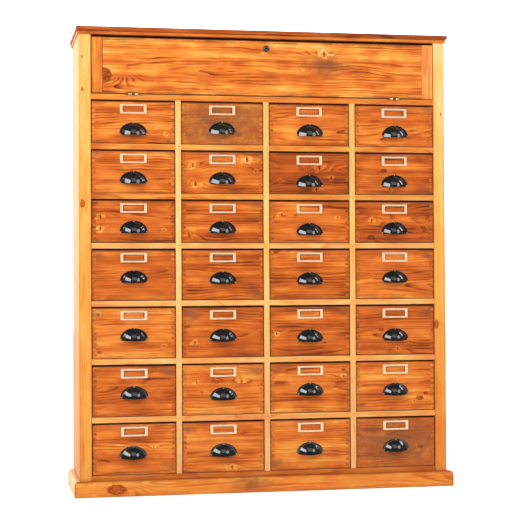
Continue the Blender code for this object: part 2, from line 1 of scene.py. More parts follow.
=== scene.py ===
"""Dresses the workshop drawer cabinet: stained pine boards with comb joints, japanned cup pulls,
brass card frames and hinges, and a plain pale studio.

Every new piece is worked out in numpy as an outline or a section carried along a path. A board
holds its own frame as mesh attributes, in millimetres along, across and into its grain, so that
one pine material draws the right figure, knots and end grain on all of them."""

import math
from functools import partial

import bmesh
import bpy
import numpy as np
from bpy.props import FloatProperty, FloatVectorProperty, IntProperty, PointerProperty
from mathutils import Matrix, Vector


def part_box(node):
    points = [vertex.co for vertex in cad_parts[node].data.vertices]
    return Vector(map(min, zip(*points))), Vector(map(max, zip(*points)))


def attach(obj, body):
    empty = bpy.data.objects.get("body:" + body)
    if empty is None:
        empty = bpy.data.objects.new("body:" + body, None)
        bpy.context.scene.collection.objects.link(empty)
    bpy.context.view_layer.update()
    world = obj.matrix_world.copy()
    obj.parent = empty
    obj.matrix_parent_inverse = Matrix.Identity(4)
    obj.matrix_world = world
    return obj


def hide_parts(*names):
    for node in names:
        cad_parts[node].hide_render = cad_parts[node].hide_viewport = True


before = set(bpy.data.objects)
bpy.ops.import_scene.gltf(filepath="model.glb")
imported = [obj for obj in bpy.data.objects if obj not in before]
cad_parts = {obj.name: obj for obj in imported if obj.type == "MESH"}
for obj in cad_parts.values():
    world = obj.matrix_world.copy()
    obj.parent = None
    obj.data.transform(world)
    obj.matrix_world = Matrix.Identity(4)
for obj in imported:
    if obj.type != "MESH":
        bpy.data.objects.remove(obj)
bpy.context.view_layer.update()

bl_info = {
    "name": "Workshop drawer cabinet",
    "version": (1, 0, 0),
    "blender": (4, 5, 0),
    "location": "View3D > Sidebar > Cabinet",
    "description": "Boards, ironwork and studio for a pine workshop drawer cabinet",
    "category": "Object",
}

MM = 0.001
ROWS = 7
COLUMNS = 4
SIDES = (("left", -1), ("right", 1))
FIT = 0.3 * MM  # gap between two boards that touch
HOUSING = 6 * MM  # how deep a lining is housed for a shelf's end
LET_IN = 0.8 * MM  # how deep a board is let in for a hinge leaf
LEAF_SEAT = 15.3 * MM  # how far the let-in runs back from the front
PIN_OUT = 3.3 * MM  # from the front to a hinge's pin
FAR_KNOT = (1e5, 0.0, 1.0)  # a knot that no board reaches

PINE = "stained_waxed_pine"
JAPAN = "japanned_cast_iron"
BRASS = "aged_pressed_brass"
PATINA = "patinated_brass"
ZINC = "zinc_plated_steel"
PAPER = "matt_paper"


def linear(code):
    """sRGB hex to linear colour, by the standard's curve."""
    value = np.array([int(code[i : i + 2], 16) for i in (0, 2, 4)]) / 255
    return tuple(np.where(value <= 0.04045, value / 12.92, ((value + 0.055) / 1.055) ** 2.4))


def colour(name, description, code):
    return FloatVectorProperty(
        name=name, description=description, subtype="COLOR", size=3, min=0, max=1,
        default=linear(code))


def length(name, description, millimetres):
    return FloatProperty(
        name=name, description=description, unit="LENGTH", default=millimetres * MM, min=0)


class PineSettings(bpy.types.PropertyGroup):
    """Colours and sizes of the wood. The stain runs from bare sapwood to the darkest late wood."""

    stain_1: colour("Stain 1", "Bare resinous wood that took no stain", "DAC49D")
    stain_2: colour("Stain 2", "Palest stained wood", "DAB167")
    stain_3: colour("Stain 3", "Honey, on the stiles", "D79640")
    stain_4: colour("Stain 4", "Light orange", "D0772B")
    stain_5: colour("Stain 5", "Orange, on the drawers", "BC5C1B")
    stain_6: colour("Stain 6", "Late wood on the drawers", "9C450E")
    stain_7: colour("Stain 7", "Red brown", "732E08")
    stain_8: colour("Stain 8", "Burnt brown, in knots and end grain", "411907")
    # Pale rubbed colour: worn wood, and on the lower shelves and the partitions' feet painted sheen,
    # the floor's reflection
    rubbed: colour("Rubbed", "Pine worn pale by hands and sleeves", "DDB29C")
    grime: colour("Grime", "Brown film where hands and damp reach", "6C4228")
    ring_spacing: FloatProperty(
        name="Ring spacing", description="Millimetres between two growth rings", default=8.5)
    arris: length("Arris", "Rounding of a board's edges", 1.2)


class IronSettings(bpy.types.PropertyGroup):
    """Sizes and colours of the ironwork."""

    japan: colour("Japan black", "Baked black varnish", "0C0B0B")
    brass: colour("Brass", "Aged pale brass", "EFCFAA")
    tarnish: colour("Tarnish", "Brown film on the brass", "C89A66")
    zinc: colour("Zinc", "Plated screw", "A09D95")
    pull_depth: length("Pull depth", "How far a cup pull stands out", 23)
    pull_height: length("Pull height", "Height of a cup pull's flange", 40)
    pull_width: length("Pull width", "Width of a cup pull's flange", 88)
    pull_wall: length("Pull wall", "Thickness of a cup pull's casting", 2.6)
    pull_gap: length("Pull gap", "From a card frame down to the cup pull", 29.7)
    frame_width: length("Card frame width", "Width of a card frame", 85.5)
    frame_height: length("Card frame height", "Height of a card frame", 30.5)
    frame_drop: length("Card frame drop", "From a drawer's top edge down to the card frame", 8.8)
    # In the card frames this brown is also painted shade inside each window's edges
    patina: colour("Patina", "Brown film on the hinges and in the card frames", "5A4124")


class StudioSettings(bpy.types.PropertyGroup):
    """The floor and its light."""

    paper: colour("Paper", "The floor that the cabinet stands on", "F4F3F1")
    seed: IntProperty(name="Seed", description="Picks the boards' figure", default=7, min=0)


def put(tree, kind, values=(), out=0, stops=(), **settings):
    """Adds a node, whose kind may name its operation too, with its settings, and gives each input
    its value or its link. Returns one output, or all of them where out is None."""
    kind, _, operation = kind.partition(" ")
    made = tree.nodes.new("ShaderNode" + kind)
    if operation:
        made.operation = operation
    for name, value in settings.items():
        setattr(made, name, value)
    for key, value in values.items() if isinstance(values, dict) else enumerate(values):
        if isinstance(value, bpy.types.NodeSocket):
            tree.links.new(value, made.inputs[key])
        else:
            made.inputs[key].default_value = value
    for index, (position, shade) in enumerate(stops):
        held = made.color_ramp.elements
        stop = held[index] if index < 2 else held.new(position)
        stop.position = position
        stop.color = (*shade, 1) if np.size(shade) == 3 else (shade, shade, shade, 1)
    return made.outputs if out is None else made.outputs[out]


def surface(name, **uniform):
    """Starts a material and sets its shader's uniform values. Returns put for its nodes, and a
    function that links outputs to the shader's sockets and returns the material."""
    made = bpy.data.materials.new(name)
    made.use_nodes = True
    sockets = made.node_tree.nodes["Principled BSDF"].inputs
    for key, value in uniform.items():
        sockets[key.replace("_", " ")].default_value = value

    def link(**outputs):
        for key, output in outputs.items():
            made.node_tree.links.new(output, sockets[key.replace("_", " ")])
        return made

    return partial(put, made.node_tree), link


def pine_material(pine):
    """Softwood boards, planed, stained with spirit stain and waxed: pale early wood, thin dark
    late wood that ends sharply, knots that the rings bow round, pale resin that took no stain,
    and thirsty dark end grain. Everything moves one depth of stain, which a ramp turns to
    colour. A knot of negative size is a ragged pale patch of resin with a dark slit in it."""
    add, link = surface(
        PINE, IOR=1.45, Specular_IOR_Level=0.18, Coat_Weight=0.03, Coat_Roughness=0.22)
    names = ("local", "offset", "half", "heart", "tone", "smudge")
    read = {name: add("Attribute", out="Vector", attribute_name=name) for name in names}
    end = add("Attribute", out="Fac", attribute_name="end")
    place = add("VectorMath ADD", (read["local"], read["offset"]))
    _, v, w = add("SeparateXYZ", (read["local"],), out=None)
    heart_v, heart_w, rings_each = add("SeparateXYZ", (read["heart"],), out=None)
    stain, contrast, wear_soil_and_light = add("SeparateXYZ", (read["tone"],), out=None)
    soiled = add("Math MAXIMUM", (wear_soil_and_light, 0.0))

    # Noise about zero, by how many millimetres it runs along and across the grain
    cloud = {}
    for name, along, across, detail in (
        ("sway", 240, 70, 2.0), ("dive", 600, 300, 0.0), ("uneven", 300, 16, 1.0),
        ("strong", 210, 30, 2.0), ("streak", 260, 6.5, 3.0), ("blotch", 110, 42, 3.0),
        ("band", 1400, 24, 1.0), ("fibre", 60, 1.6, 2.0), ("island", 48, 17, 3.0),
        ("ragged", 11, 11, 2.0), ("swirl", 22, 14, 3.0), ("soil", 38, 24, 3.0), ("cut", 30, 9, 2.0),
    ):
        over = add("VectorMath MULTIPLY", (place, (1 / along, 1 / across, 1 / across)))
        noise = add("TexNoise", {"Vector": over, "Scale": 1.0, "Detail": detail})
        cloud[name] = add("Math ADD", (noise, -0.5))

    # The rings: distance from the tree's heart, which lies under the board and wanders along it
    side = add("Math SUBTRACT", (v, heart_v))
    side = add("Math MULTIPLY_ADD", (cloud["sway"], 34.0, side))
    below = add("Math SUBTRACT", (w, heart_w))
    below = add("Math MULTIPLY_ADD", (cloud["dive"], 130.0, below))
    both = add("CombineXYZ", (side, below, 0.0))
    radius = add("VectorMath LENGTH", (both,), out="Value")

    # Each knot is an ellipse: how far a point lies from it by three shapes, in the knot's sizes
    knotty, resin, knot_depth = 0.0, 0.0, 0.0
    for name in ("knot_a", "knot_b", "knot_c", "knot_d"):
        spot = add("Attribute", out="Vector", attribute_name=name)
        signed = add("SeparateXYZ", (spot,), out="Z")
        size = add("Math ABSOLUTE", (signed,))
        is_patch = add("Math LESS_THAN", (signed, 0.0))
        apart = add("VectorMath SUBTRACT", (read["local"], spot))
        narrow = add("MapRange", (is_patch, 0.0, 1.0, 0.56, 2.4))
        core = add("CombineXYZ", (narrow, 1.0, 0.0))
        reach = []
        for shares in ((0.31, 1.0, 0.0), (0.62, 1.0, 0.0), core):
            flat = add("VectorMath MULTIPLY", (apart, shares))
            away = add("VectorMath LENGTH", (flat,), out="Value")
            reach.append(add("Math DIVIDE", (away, size)))
        # The rings bow out round it
        square = add("Math MULTIPLY", (reach[0], reach[0]))
        fading = add("Math MULTIPLY", (square, -0.3))
        fall = add("Math EXPONENT", (fading,))
        lift = add("Math MULTIPLY", (fall, size))
        radius = add("Math MULTIPLY_ADD", (lift, 2.4, radius))
        # Resin lies round the slit in loose hoops
        loose = add("Math MULTIPLY_ADD", (cloud["swirl"], 4.4, reach[1]))
        loose = add("Math MULTIPLY_ADD", (cloud["ragged"], 2.6, loose))
        bare = add("ValToRGB", (loose,), stops=((0.0, 0.35), (1.0, 0.75), (0.45, 0.3), (0.8, 1.0)))
        fade = add("MapRange", (loose, 1.6, 1.0, 0.0, 1.0))
        bare = add("Math MULTIPLY", (bare, fade))
        bare = add("Math MULTIPLY", (bare, is_patch))
        resin = add("Math MAXIMUM", (resin, bare))
        # The knot itself has fine hoops and a dark rim
        edge = add("Math MULTIPLY_ADD", (cloud["ragged"], 0.75, reach[2]))
        inside = add("MapRange", (edge, 1.08, 0.9, 0.0, 1.0))
        knotty = add("Math MAXIMUM", (knotty, inside))
        hoops = add("Math MULTIPLY", (edge, 19.0))
        hoops = add("Math SINE", (hoops,))
        rim = add("MapRange", (edge, 0.62, 0.98, 0.0, 0.16))
        depth = add("Math MULTIPLY_ADD", (hoops, 0.07, rim))
        knot_depth = add("Math MULTIPLY_ADD", (depth, inside, knot_depth))
    spacing = add("Math MULTIPLY", (rings_each, radius))
    spacing = add("Math MULTIPLY_ADD", (cloud["uneven"], 1.1, spacing))
    phase = add("Math FRACT", (spacing,))
    late = add(
        "ValToRGB", (phase,), stops=((0.0, 0.55), (1.0, 1.0), (0.07, 0.0), (0.5, 0.04), (0.8, 0.5)))
    strong = add("MapRange", (cloud["strong"], -0.08, 0.16, 0.02, 1.0))
    late = add("Math MULTIPLY", (late, strong))

    inner = add("VectorMath ABSOLUTE", (read["local"],))
    margin = add("VectorMath SUBTRACT", (read["half"], inner))
    to_end, to_edge, _ = add("SeparateXYZ", (margin,), out=None)
    to_end = add("Math MULTIPLY_ADD", (end, 1000.0, to_end))
    nearest = add("Math MINIMUM", (to_end, to_edge))

    # The depth of stain: rings, streaks along the grain, blotches, fibres, resin, knots, ends,
    # and the arris, where stain and dirt gather on a soiled board; the dark arris is also painted
    # shade, standing for the shade in the gaps round the drawers and the flap
    move = add("Math MULTIPLY_ADD", (late, 0.36, -0.07))
    for name, gain in (("streak", 0.44), ("blotch", 0.6), ("band", 0.36), ("fibre", 0.12)):
        move = add("Math MULTIPLY_ADD", (cloud[name], gain, move))
    resin = add("MapRange", (resin, 0.1, 0.9, 0.0, -0.24))
    island = add("MapRange", (cloud["island"], 0.16, 0.23, 0.0, -0.11))
    resin = add("Math MINIMUM", (resin, island))
    move = add("Math MULTIPLY_ADD", (resin, contrast, move))
    depth = add("Math MULTIPLY_ADD", (move, contrast, stain))
    knot_depth = add("Math MULTIPLY_ADD", (stain, 0.5, knot_depth))
    knot_depth = add("Math MULTIPLY_ADD", (cloud["ragged"], 0.4, knot_depth))
    knot_depth = add("Math ADD", (knot_depth, 0.47))
    depth = add("Mix", {0: knotty, 2: depth, 3: knot_depth})
    depth = add("Math MULTIPLY_ADD", (end, 0.02, depth))
    # Darker within 3 mm of an edge by how soiled the board is: dirt, and painted shade beside the
    # gaps
    edge_dirt_and_shade = add("MapRange", (nearest, 3.0, 1.0, 0.0, 0.7))
    depth = add("Math MULTIPLY_ADD", (edge_dirt_and_shade, soiled, depth))
    stops = [((n - 1) / 7, tuple(getattr(pine, f"stain_{n}"))) for n in (1, 8, 2, 3, 4, 5, 6, 7)]
    dyed = add("ValToRGB", (depth,), stops=stops)
    # Below nought the tone's third value mixes in the rubbed colour: worn wood, and painted sheen on
    # the lower boards
    worn_and_sheen = add("MapRange", (wear_soil_and_light, 0.0, -1.0, 0.0, 1.0))
    dyed = add("Mix", {0: worn_and_sheen, 6: dyed, 7: (*pine.rubbed, 1)}, out=2, data_type="RGBA")

    # Grime creeps in from a board's edges in patches, lies in a smudge, and sits in end grain
    patchy = add("MapRange", (cloud["soil"], -0.12, 0.22, 1.0, 24.0))
    film = add("MapRange", (nearest, patchy, 0.0, 0.0, 1.0))
    apart = add("VectorMath SUBTRACT", (read["local"], read["smudge"]))
    flat = add("VectorMath MULTIPLY", (apart, (0.45, 1.0, 0.0)))
    away = add("VectorMath LENGTH", (flat,), out="Value")
    size = add("SeparateXYZ", (read["smudge"],), out="Z")
    away = add("Math DIVIDE", (away, size))
    for name, gain in (("ragged", 1.1), ("soil", 1.6), ("streak", 1.2)):
        away = add("Math MULTIPLY_ADD", (cloud[name], gain, away))
    smudge = add("MapRange", (away, 1.3, 0.2, 0.0, 0.7))
    cut = add("MapRange", (cloud["cut"], -0.1, 0.2, 0.1, 0.9))
    cut = add("Math MULTIPLY", (end, cut))
    film = add("Math MAXIMUM", (film, cut))
    film = add("Math MULTIPLY", (film, soiled))
    film = add("Math MAXIMUM", (film, smudge))
    dyed = add("Mix", {0: film, 6: dyed, 7: (*pine.grime, 1)}, out=2, data_type="RGBA")
    dull = add("MapRange", (late, 0.0, 1.0, 0.5, 0.38))
    bump = add("Bump", {"Strength": 0.25, "Distance": 0.0004, "Height": move})
    return link(Base_Color=dyed, Roughness=dull, Normal=bump)


def clouded(name, scale, detail, shades, dulls, ripple=None, **uniform):
    """A material whose colour and roughness follow one noise. Shades are the places of two
    colours on the noise, and dulls its range and the roughness at the range's ends. Ripple is
    the scale of a faint unevenness."""
    add, link = surface(name, **uniform)
    place = add("TexCoord", out="Object")
    outputs = {}
    if ripple:
        waves = add("TexNoise", {"Vector": place, "Scale": ripple, "Detail": 2.0})
        outputs["Normal"] = add("Bump", {"Strength": 0.08, "Distance": 0.0005, "Height": waves})
    film = add("TexNoise", {"Vector": place, "Scale": scale, "Detail": detail})
    outputs["Base_Color"] = add("ValToRGB", (film,), stops=shades)
    outputs["Roughness"] = add("MapRange", (film, *dulls))
    return link(**outputs)


def japan_material(iron):
    """Cast iron under baked black varnish: deep gloss, with the faint ripple of brushed lacquer."""
    return clouded(
        JAPAN, 90.0, 4.0, ((0.55, tuple(iron.japan)), (0.9, linear("1D1713"))),
        (0.35, 0.75, 0.12, 0.3), 260.0, IOR=1.52, Specular_IOR_Level=0.1, Coat_Weight=1.0,
        Coat_Roughness=0.06)


def brass_material(iron):
    """Pressed brass, lacquered long ago: pale and soft where rubbed, brown in patches."""
    shades = ((0.45, tuple(iron.brass)), (0.85, tuple(iron.tarnish)))
    return clouded(BRASS, 120.0, 5.0, shades, (0.3, 0.8, 0.26, 0.5), Metallic=0.4)


def patina_material(iron):
    """Brass left bare for a lifetime: olive brown, with a dull shine where it still rubs."""
    shades = ((0.35, tuple(iron.patina)), (0.8, linear("8C6A38")))
    return clouded(PATINA, 150.0, 4.0, shades, (0.3, 0.8, 0.42, 0.28), Metallic=0.85)


def zinc_material(iron):
    """Screws and pins, bright zinc plate gone slightly cloudy."""
    shades = ((0.4, tuple(iron.zinc)), (0.8, linear("9A968C")))
    return clouded(ZINC, 400.0, 3.0, shades, (0.3, 0.7, 0.22, 0.42), Metallic=1.0)


def paper_material(studio):
    """Matt white background paper that glows, a painted light that grows from near the cabinet to
    where the paper runs back out of the lamps' light.
    """
    add, link = surface(PAPER, Roughness=0.9, Emission_Color=(1, 1, 1, 1))
    place = add("TexCoord", out="Object")
    cloud = add("TexNoise", {"Vector": place, "Scale": 0.4, "Detail": 1.0})
    pale = tuple(studio.paper)
    shade = add("ValToRGB", (cloud,), stops=((0.0, pale), (1.0, tuple(0.98 * c for c in pale))))
    away = add("VectorMath LENGTH", (place,), out="Value")
    glow = add("MapRange", (away, 1.0, 3.0, 0.3, 0.6))
    return link(Base_Color=shade, Emission_Strength=glow)


def material(name):
    """The material of that name, made when it is first asked for."""
    maker, group = {
        PINE: (pine_material, "cabinet_pine"),
        JAPAN: (japan_material, "cabinet_iron"),
        BRASS: (brass_material, "cabinet_iron"),
        PATINA: (patina_material, "cabinet_iron"),
        ZINC: (zinc_material, "cabinet_iron"),
        PAPER: (paper_material, "cabinet_studio"),
    }[name]
    return bpy.data.materials.get(name) or maker(getattr(bpy.context.scene, group))


def inset(outline, distance):
    """Moves every point of an anticlockwise outline inwards, so that both of its edges move by
    the distance: the sum of their inward normals over one plus their dot product."""
    ahead = np.roll(outline, -1, 0) - outline
    ahead /= np.linalg.norm(ahead, axis=1, keepdims=True)
    inward = np.stack([-ahead[:, 1], ahead[:, 0]], 1)
    before = np.roll(inward, 1, 0)
    return outline + distance * (inward + before) / (1 + (inward * before).sum(1, keepdims=True))


def grid_faces(rows, columns, ring_rows=False, ring_columns=False):
    """Quads between neighbours on a grid of points, which may join end to end either way."""
    r = np.arange(rows if ring_rows else rows - 1)[:, None]
    c = np.arange(columns if ring_columns else columns - 1)[None]
    after, beside = (r + 1) % rows, (c + 1) % columns
    corners = (r * columns + c, r * columns + beside, after * columns + beside, after * columns + c)
    return np.stack(np.broadcast_arrays(*corners), -1).reshape(-1, 4)


def tube(points):
    """A closed shape from rows of points, each a ring: quads between them, and a face on the
    first and the last."""
    rows, count = points.shape[:2]
    last = (rows - 1) * count
    faces = grid_faces(rows, count, ring_columns=True).tolist()
    faces += [list(range(count))[::-1], list(range(last, last + count))]
    return points.reshape(-1, 3), faces


def carried(outline, axis, stations):
    """An outline carried along an axis. Each station is a position and how far the outline is
    drawn in there. The outline's two columns are the other axes in their usual order."""
    flat = np.array(outline, float)
    ahead = np.roll(flat, -1, 0)
    turn = (flat[:, 0] * ahead[:, 1] - ahead[:, 0] * flat[:, 1]).sum() * (-1 if axis == 1 else 1)
    mirror = np.array([1, -1]) if axis == 1 else np.array([1, 1])
    flat = (flat if turn > 0 else flat[::-1]) * mirror
    loops = np.stack([inset(flat, drawn) for _, drawn in stations]) * mirror
    points = np.empty((*loops.shape[:2], 3))
    points[..., [a for a in range(3) if a != axis]] = loops
    points[..., axis] = np.array([position for position, _ in stations])[:, None]
    return tube(points)


def eased(low, high, arris):
    """Stations from low to high, with both ends rounded over an eighth of a circle twice."""
    part = 1 - math.sqrt(0.5)
    ramp = [(0.0, 1.0), (part, part), (1.0, 0.0)]
    rising = [(low + s * arris, d * arris) for s, d in ramp]
    return rising + [(high - s * arris, d * arris) for s, d in reversed(ramp)]


def turned(section, centre, axis, steps):
    """A section of (radius, along) points turned about an axis through a centre. The sense is
    right when along grows towards the positive axis and the section runs from foot to head."""
    section = np.array(section, float)
    angle = np.arange(steps) * 2 * math.pi / steps
    one, two = ((1, 2), (2, 0), (0, 1))[axis]
    points = np.empty((len(section), steps, 3))
    points[..., one] = section[:, :1] * np.cos(angle)
    points[..., two] = section[:, :1] * np.sin(angle)
    points[..., axis] = section[:, 1:]
    return tube(points + np.array(centre))


def mitred(section, corners, foot=0.0):
    """Rows of points: a section of (reach, height) points over a foot, at each corner of a path
    with square turns. A corner is a place and the two signs that the reach moves it by."""
    reach, height = np.array(section, float).T
    x, y, x_sign, y_sign = (np.array(values)[:, None] for values in zip(*corners))
    return np.stack([x + x_sign * reach, y + y_sign * reach, foot + height + 0 * x], -1)


def rectangle(low, high):
    return [(low[0], low[1]), (high[0], low[1]), (high[0], high[1]), (low[0], high[1])]


def joined(*shapes):
    """Several closed shapes as one."""
    points, faces = [], []
    for more, sides in shapes:
        start = sum(len(p) for p in points)
        points.append(more)
        faces += [[start + i for i in side] for side in sides]
    return np.concatenate(points), faces


def ring_sector(inner, outer, start, turn, steps):
    """Part of a flat ring about the origin, from an angle in degrees."""
    angle = np.radians(start + np.linspace(0, turn, steps + 1))
    arc = np.stack([np.cos(angle), np.sin(angle)], 1)
    return np.concatenate([outer * arc, inner * arc[::-1]])


def rounded_rectangle(half_width, half_height, radius, steps):
    """A rectangle about the origin with a quarter circle at each corner."""
    quarter = np.linspace(0, math.pi / 2, steps + 1)
    points = []
    for turn, (sx, sy) in enumerate(((1, 1), (-1, 1), (-1, -1), (1, -1))):
        angle = quarter + turn * math.pi / 2
        x = sx * (half_width - radius) + radius * np.cos(angle)
        y = sy * (half_height - radius) + radius * np.sin(angle)
        points.append(np.stack([x, y], 1))
    return np.concatenate(points)


def board(shape, along, tone, rng, knots=(), heart=None, far_tone_and_light=None, smudge=FAR_KNOT):
    """A shape and its wood: its own frame in millimetres, a place in the tree, and its knots.
    Tone is the depth of stain from 0, bare, to 1, burnt, how much the figure moves it, and how
    soiled the edges are, below nought for a board rubbed pale; the soiled arris is partly painted
    shade, and the rubbed pale partly painted sheen. A second tone is reached at the board's far
    end along the grain; on the stiles, partitions and side staves it is painted light, paler
    towards the head where the top is lit brighter. A knot or smudge is a place in millimetres
    along and across from the middle, and a size."""
    points, faces = shape
    low, high = points.min(0), points.max(0)
    size = high - low
    others = sorted((a for a in range(3) if a != along), key=lambda a: -size[a])
    order = [along, *others]
    if heart is None:
        heart = (rng.uniform(-60, 60), -rng.uniform(15, 70))
    rings_each = rng.uniform(0.85, 1.2) / bpy.context.scene.cabinet_pine.ring_spacing
    same = {
        "offset": rng.uniform(-4000, 4000, 3),
        "half": size[order] / 2 / MM,
        "heart": (*heart, rings_each),
        "tone": tone,
        "smudge": smudge,
    }
    held = [*knots, *[FAR_KNOT] * (4 - len(knots))]
    same.update(zip(("knot_a", "knot_b", "knot_c", "knot_d"), held))
    values = {name: np.tile(value, (len(points), 1)) for name, value in same.items()}
    values["local"] = (points - (low + high) / 2)[:, order] / MM
    if far_tone_and_light is not None:
        share = ((points - low) / size)[:, along, None]
        values["tone"] = np.array(tone) * (1 - share) + np.array(far_tone_and_light) * share
    return {"points": points, "faces": faces, "values": values, "along": along}


def scattered(rng, across, small, large):
    """Three knots anywhere on an upright board, by half its width and their sizes."""
    return [
        (rng.uniform(-650, 650), rng.uniform(-across, across), rng.uniform(small, large))
        for _ in range(3)]


def plain(shape):
    points, faces = shape
    return {"points": points, "faces": faces, "values": {}}


def piece(name, parts, materials, body, nodes, smooth=None, merge=False):
    """One object from its parts: a list of parts for each of its materials. Smooth is the
    sharpest angle in degrees that still looks round."""
    mesh = bpy.data.meshes.new(name)
    every = [part for group in parts for part in group]
    points, faces = joined(*((part["points"], part["faces"]) for part in every))
    mesh.from_pydata(points, [], faces)
    shades = [index for index, group in enumerate(parts) for part in group for _ in part["faces"]]
    mesh.polygons.foreach_set("material_index", shades)
    if all(part["values"] for part in every):
        for key in every[0]["values"]:
            made = mesh.attributes.new(key, "FLOAT_VECTOR", "POINT")
            made.data.foreach_set("vector", np.concatenate([p["values"][key] for p in every]).ravel())
        mesh.update()
        normals = np.empty(len(mesh.polygons) * 3)
        mesh.polygons.foreach_get("normal", normals)
        along = np.repeat([p["along"] for p in every], [len(p["faces"]) for p in every])
        facing = np.abs(normals.reshape(-1, 3)[np.arange(len(along)), along])
        made = mesh.attributes.new("end", "FLOAT", "FACE")
        made.data.foreach_set("value", (facing > 0.7).astype(float))
    if merge:
        bm = bmesh.new()
        bm.from_mesh(mesh)
        bmesh.ops.remove_doubles(bm, verts=bm.verts, dist=1e-6)
        bmesh.ops.dissolve_degenerate(bm, edges=bm.edges, dist=1e-6)
        bmesh.ops.recalc_face_normals(bm, faces=bm.faces)
        bm.to_mesh(mesh)
        bm.free()
    made = bpy.data.objects.new(name, mesh)
    bpy.context.scene.collection.objects.link(made)
    for entry in materials:
        mesh.materials.append(material(entry))
    if smooth:
        mesh.shade_smooth()
        mesh.set_sharp_from_angle(angle=math.radians(smooth))
        weigh = made.modifiers.new("weigh_normals", "WEIGHTED_NORMAL")
        weigh.keep_sharp = True
    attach(made, body)
    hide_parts(*nodes)
    return made


def wooden(name, boards, node, body="carcass", smooth=50):
    """One piece of pine from its boards, in a node's place."""
    return piece(name, [boards], [PINE], body, [node], smooth=smooth)


def draws(number):
    """An operator's own random draws, so that no piece's figure depends on another's."""
    return np.random.default_rng(bpy.context.scene.cabinet_studio.seed + number)


def box_of(node):
    low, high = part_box(node)
    return np.array(low), np.array(high)


def each_drawer():
    """Every drawer's row, column, node, lowest corner and highest corner."""
    for row in range(1, ROWS + 1):
        for column in range(1, COLUMNS + 1):
            node = f"drawer_row{row}_col{column}"
            yield row, column, node, *box_of(node)


def screw(centre, radius, turn, facing=-1):
    """A slotted dome head that faces -Y, +Y, +Z or -Z by -1, 1, 2 or -2: a square of points
    drawn out to a disc, domed by a circle's height, with its middle columns sunk for the slot."""
    columns = np.array([-1, -0.6, -0.16, -0.13, 0.13, 0.16, 0.6, 1])
    rows = np.array([-1, -0.5, 0, 0.5, 1])
    s, t = np.meshgrid(columns, rows, indexing="ij")
    x, z = s * np.sqrt(1 - t**2 / 2), t * np.sqrt(1 - s**2 / 2)
    rise = 0.42 * np.sqrt(np.clip(1.15 - x**2 - z**2, 0, None))
    rise = np.where(np.abs(s) < 0.15, rise * 0.35, rise)
    x, z = x * math.cos(turn) - z * math.sin(turn), x * math.sin(turn) + z * math.cos(turn)
    points = np.stack([x, -rise, z], -1).reshape(-1, 3) * radius
    faces = [face[::-1] for face in grid_faces(*s.shape).tolist()]
    at = np.arange(s.size).reshape(s.shape)
    rim = [*at[:, 0], *at[-1, 1:], *at[-2::-1, -1], *at[0, -2:0:-1]]
    foot = points[rim] * np.array([1, 0, 1])
    below = len(points) + np.arange(len(rim))
    wall = np.stack([rim, np.roll(rim, -1), np.roll(below, -1), below], 1).tolist()
    back = [below[::-1].tolist()]
    x, y, z = np.concatenate([points, foot]).T
    looked = {-1: (x, y, z), 1: (-x, -y, z), 2: (x, z, -y), -2: (x, -z, y)}[facing]
    return plain((np.stack(looked, 1) + np.array(centre), faces + wall + back))


def housed_outline(node, slots):
    """A housed board from above: between the stiles in front, into the linings behind them, and
    slotted from the front for each partition where asked."""
    low, high = box_of(node)
    middle = (low[1] + high[1]) / 2
    edge = box_of("stile_right")[0][0] - FIT
    behind = box_of("side_lining_right")[0][1]
    outline = [(-edge, low[1])]
    for number in range(1, COLUMNS) if slots else ():
        near, far = box_of(f"partition_{number}")
        sides = near[0] - FIT, far[0] + FIT
        outline += [(sides[0], low[1]), (sides[0], middle), (sides[1], middle), (sides[1], low[1])]
    outline += [(edge, low[1]), (edge, behind), (high[0], behind), (high[0], high[1])]
    return outline + [(low[0], high[1]), (low[0], behind), (-edge, behind)]


def hinge_lets(front):
    """The front edge of a board, at that y, let in for both hinges and seen from above."""
    back = box_of("stile_right")[0][1] + LEAF_SEAT
    points = []
    for side, _ in SIDES:
        low, high = box_of(f"hinge_carcass_leaf_{side}")
        left, right = low[0] - FIT, high[0] + FIT
        points += [(left, front), (left, back), (right, back), (right, front)]
    return points


# Each stile's knots, and its depth of stain at its foot and at its head; the paler head is
# painted light, the top lit brighter than the foot
STILES = {
    "left": (((195.0, -8.0, 8.0), (560.0, -8.0, 4.0), (664.0, -8.0, 3.0)), 0.37, 0.2),
    "right": (((-200.0, -12.0, 8.0), (500.0, 6.0, 3.0)), 0.47, 0.12),
}
# Each partition's depth of stain at its foot and at its head; the paler head is painted light,
# the top lit brighter than the foot
PARTITION_TONES = ((0.31, 0.11), (0.29, 0.14), (0.27, 0.19))


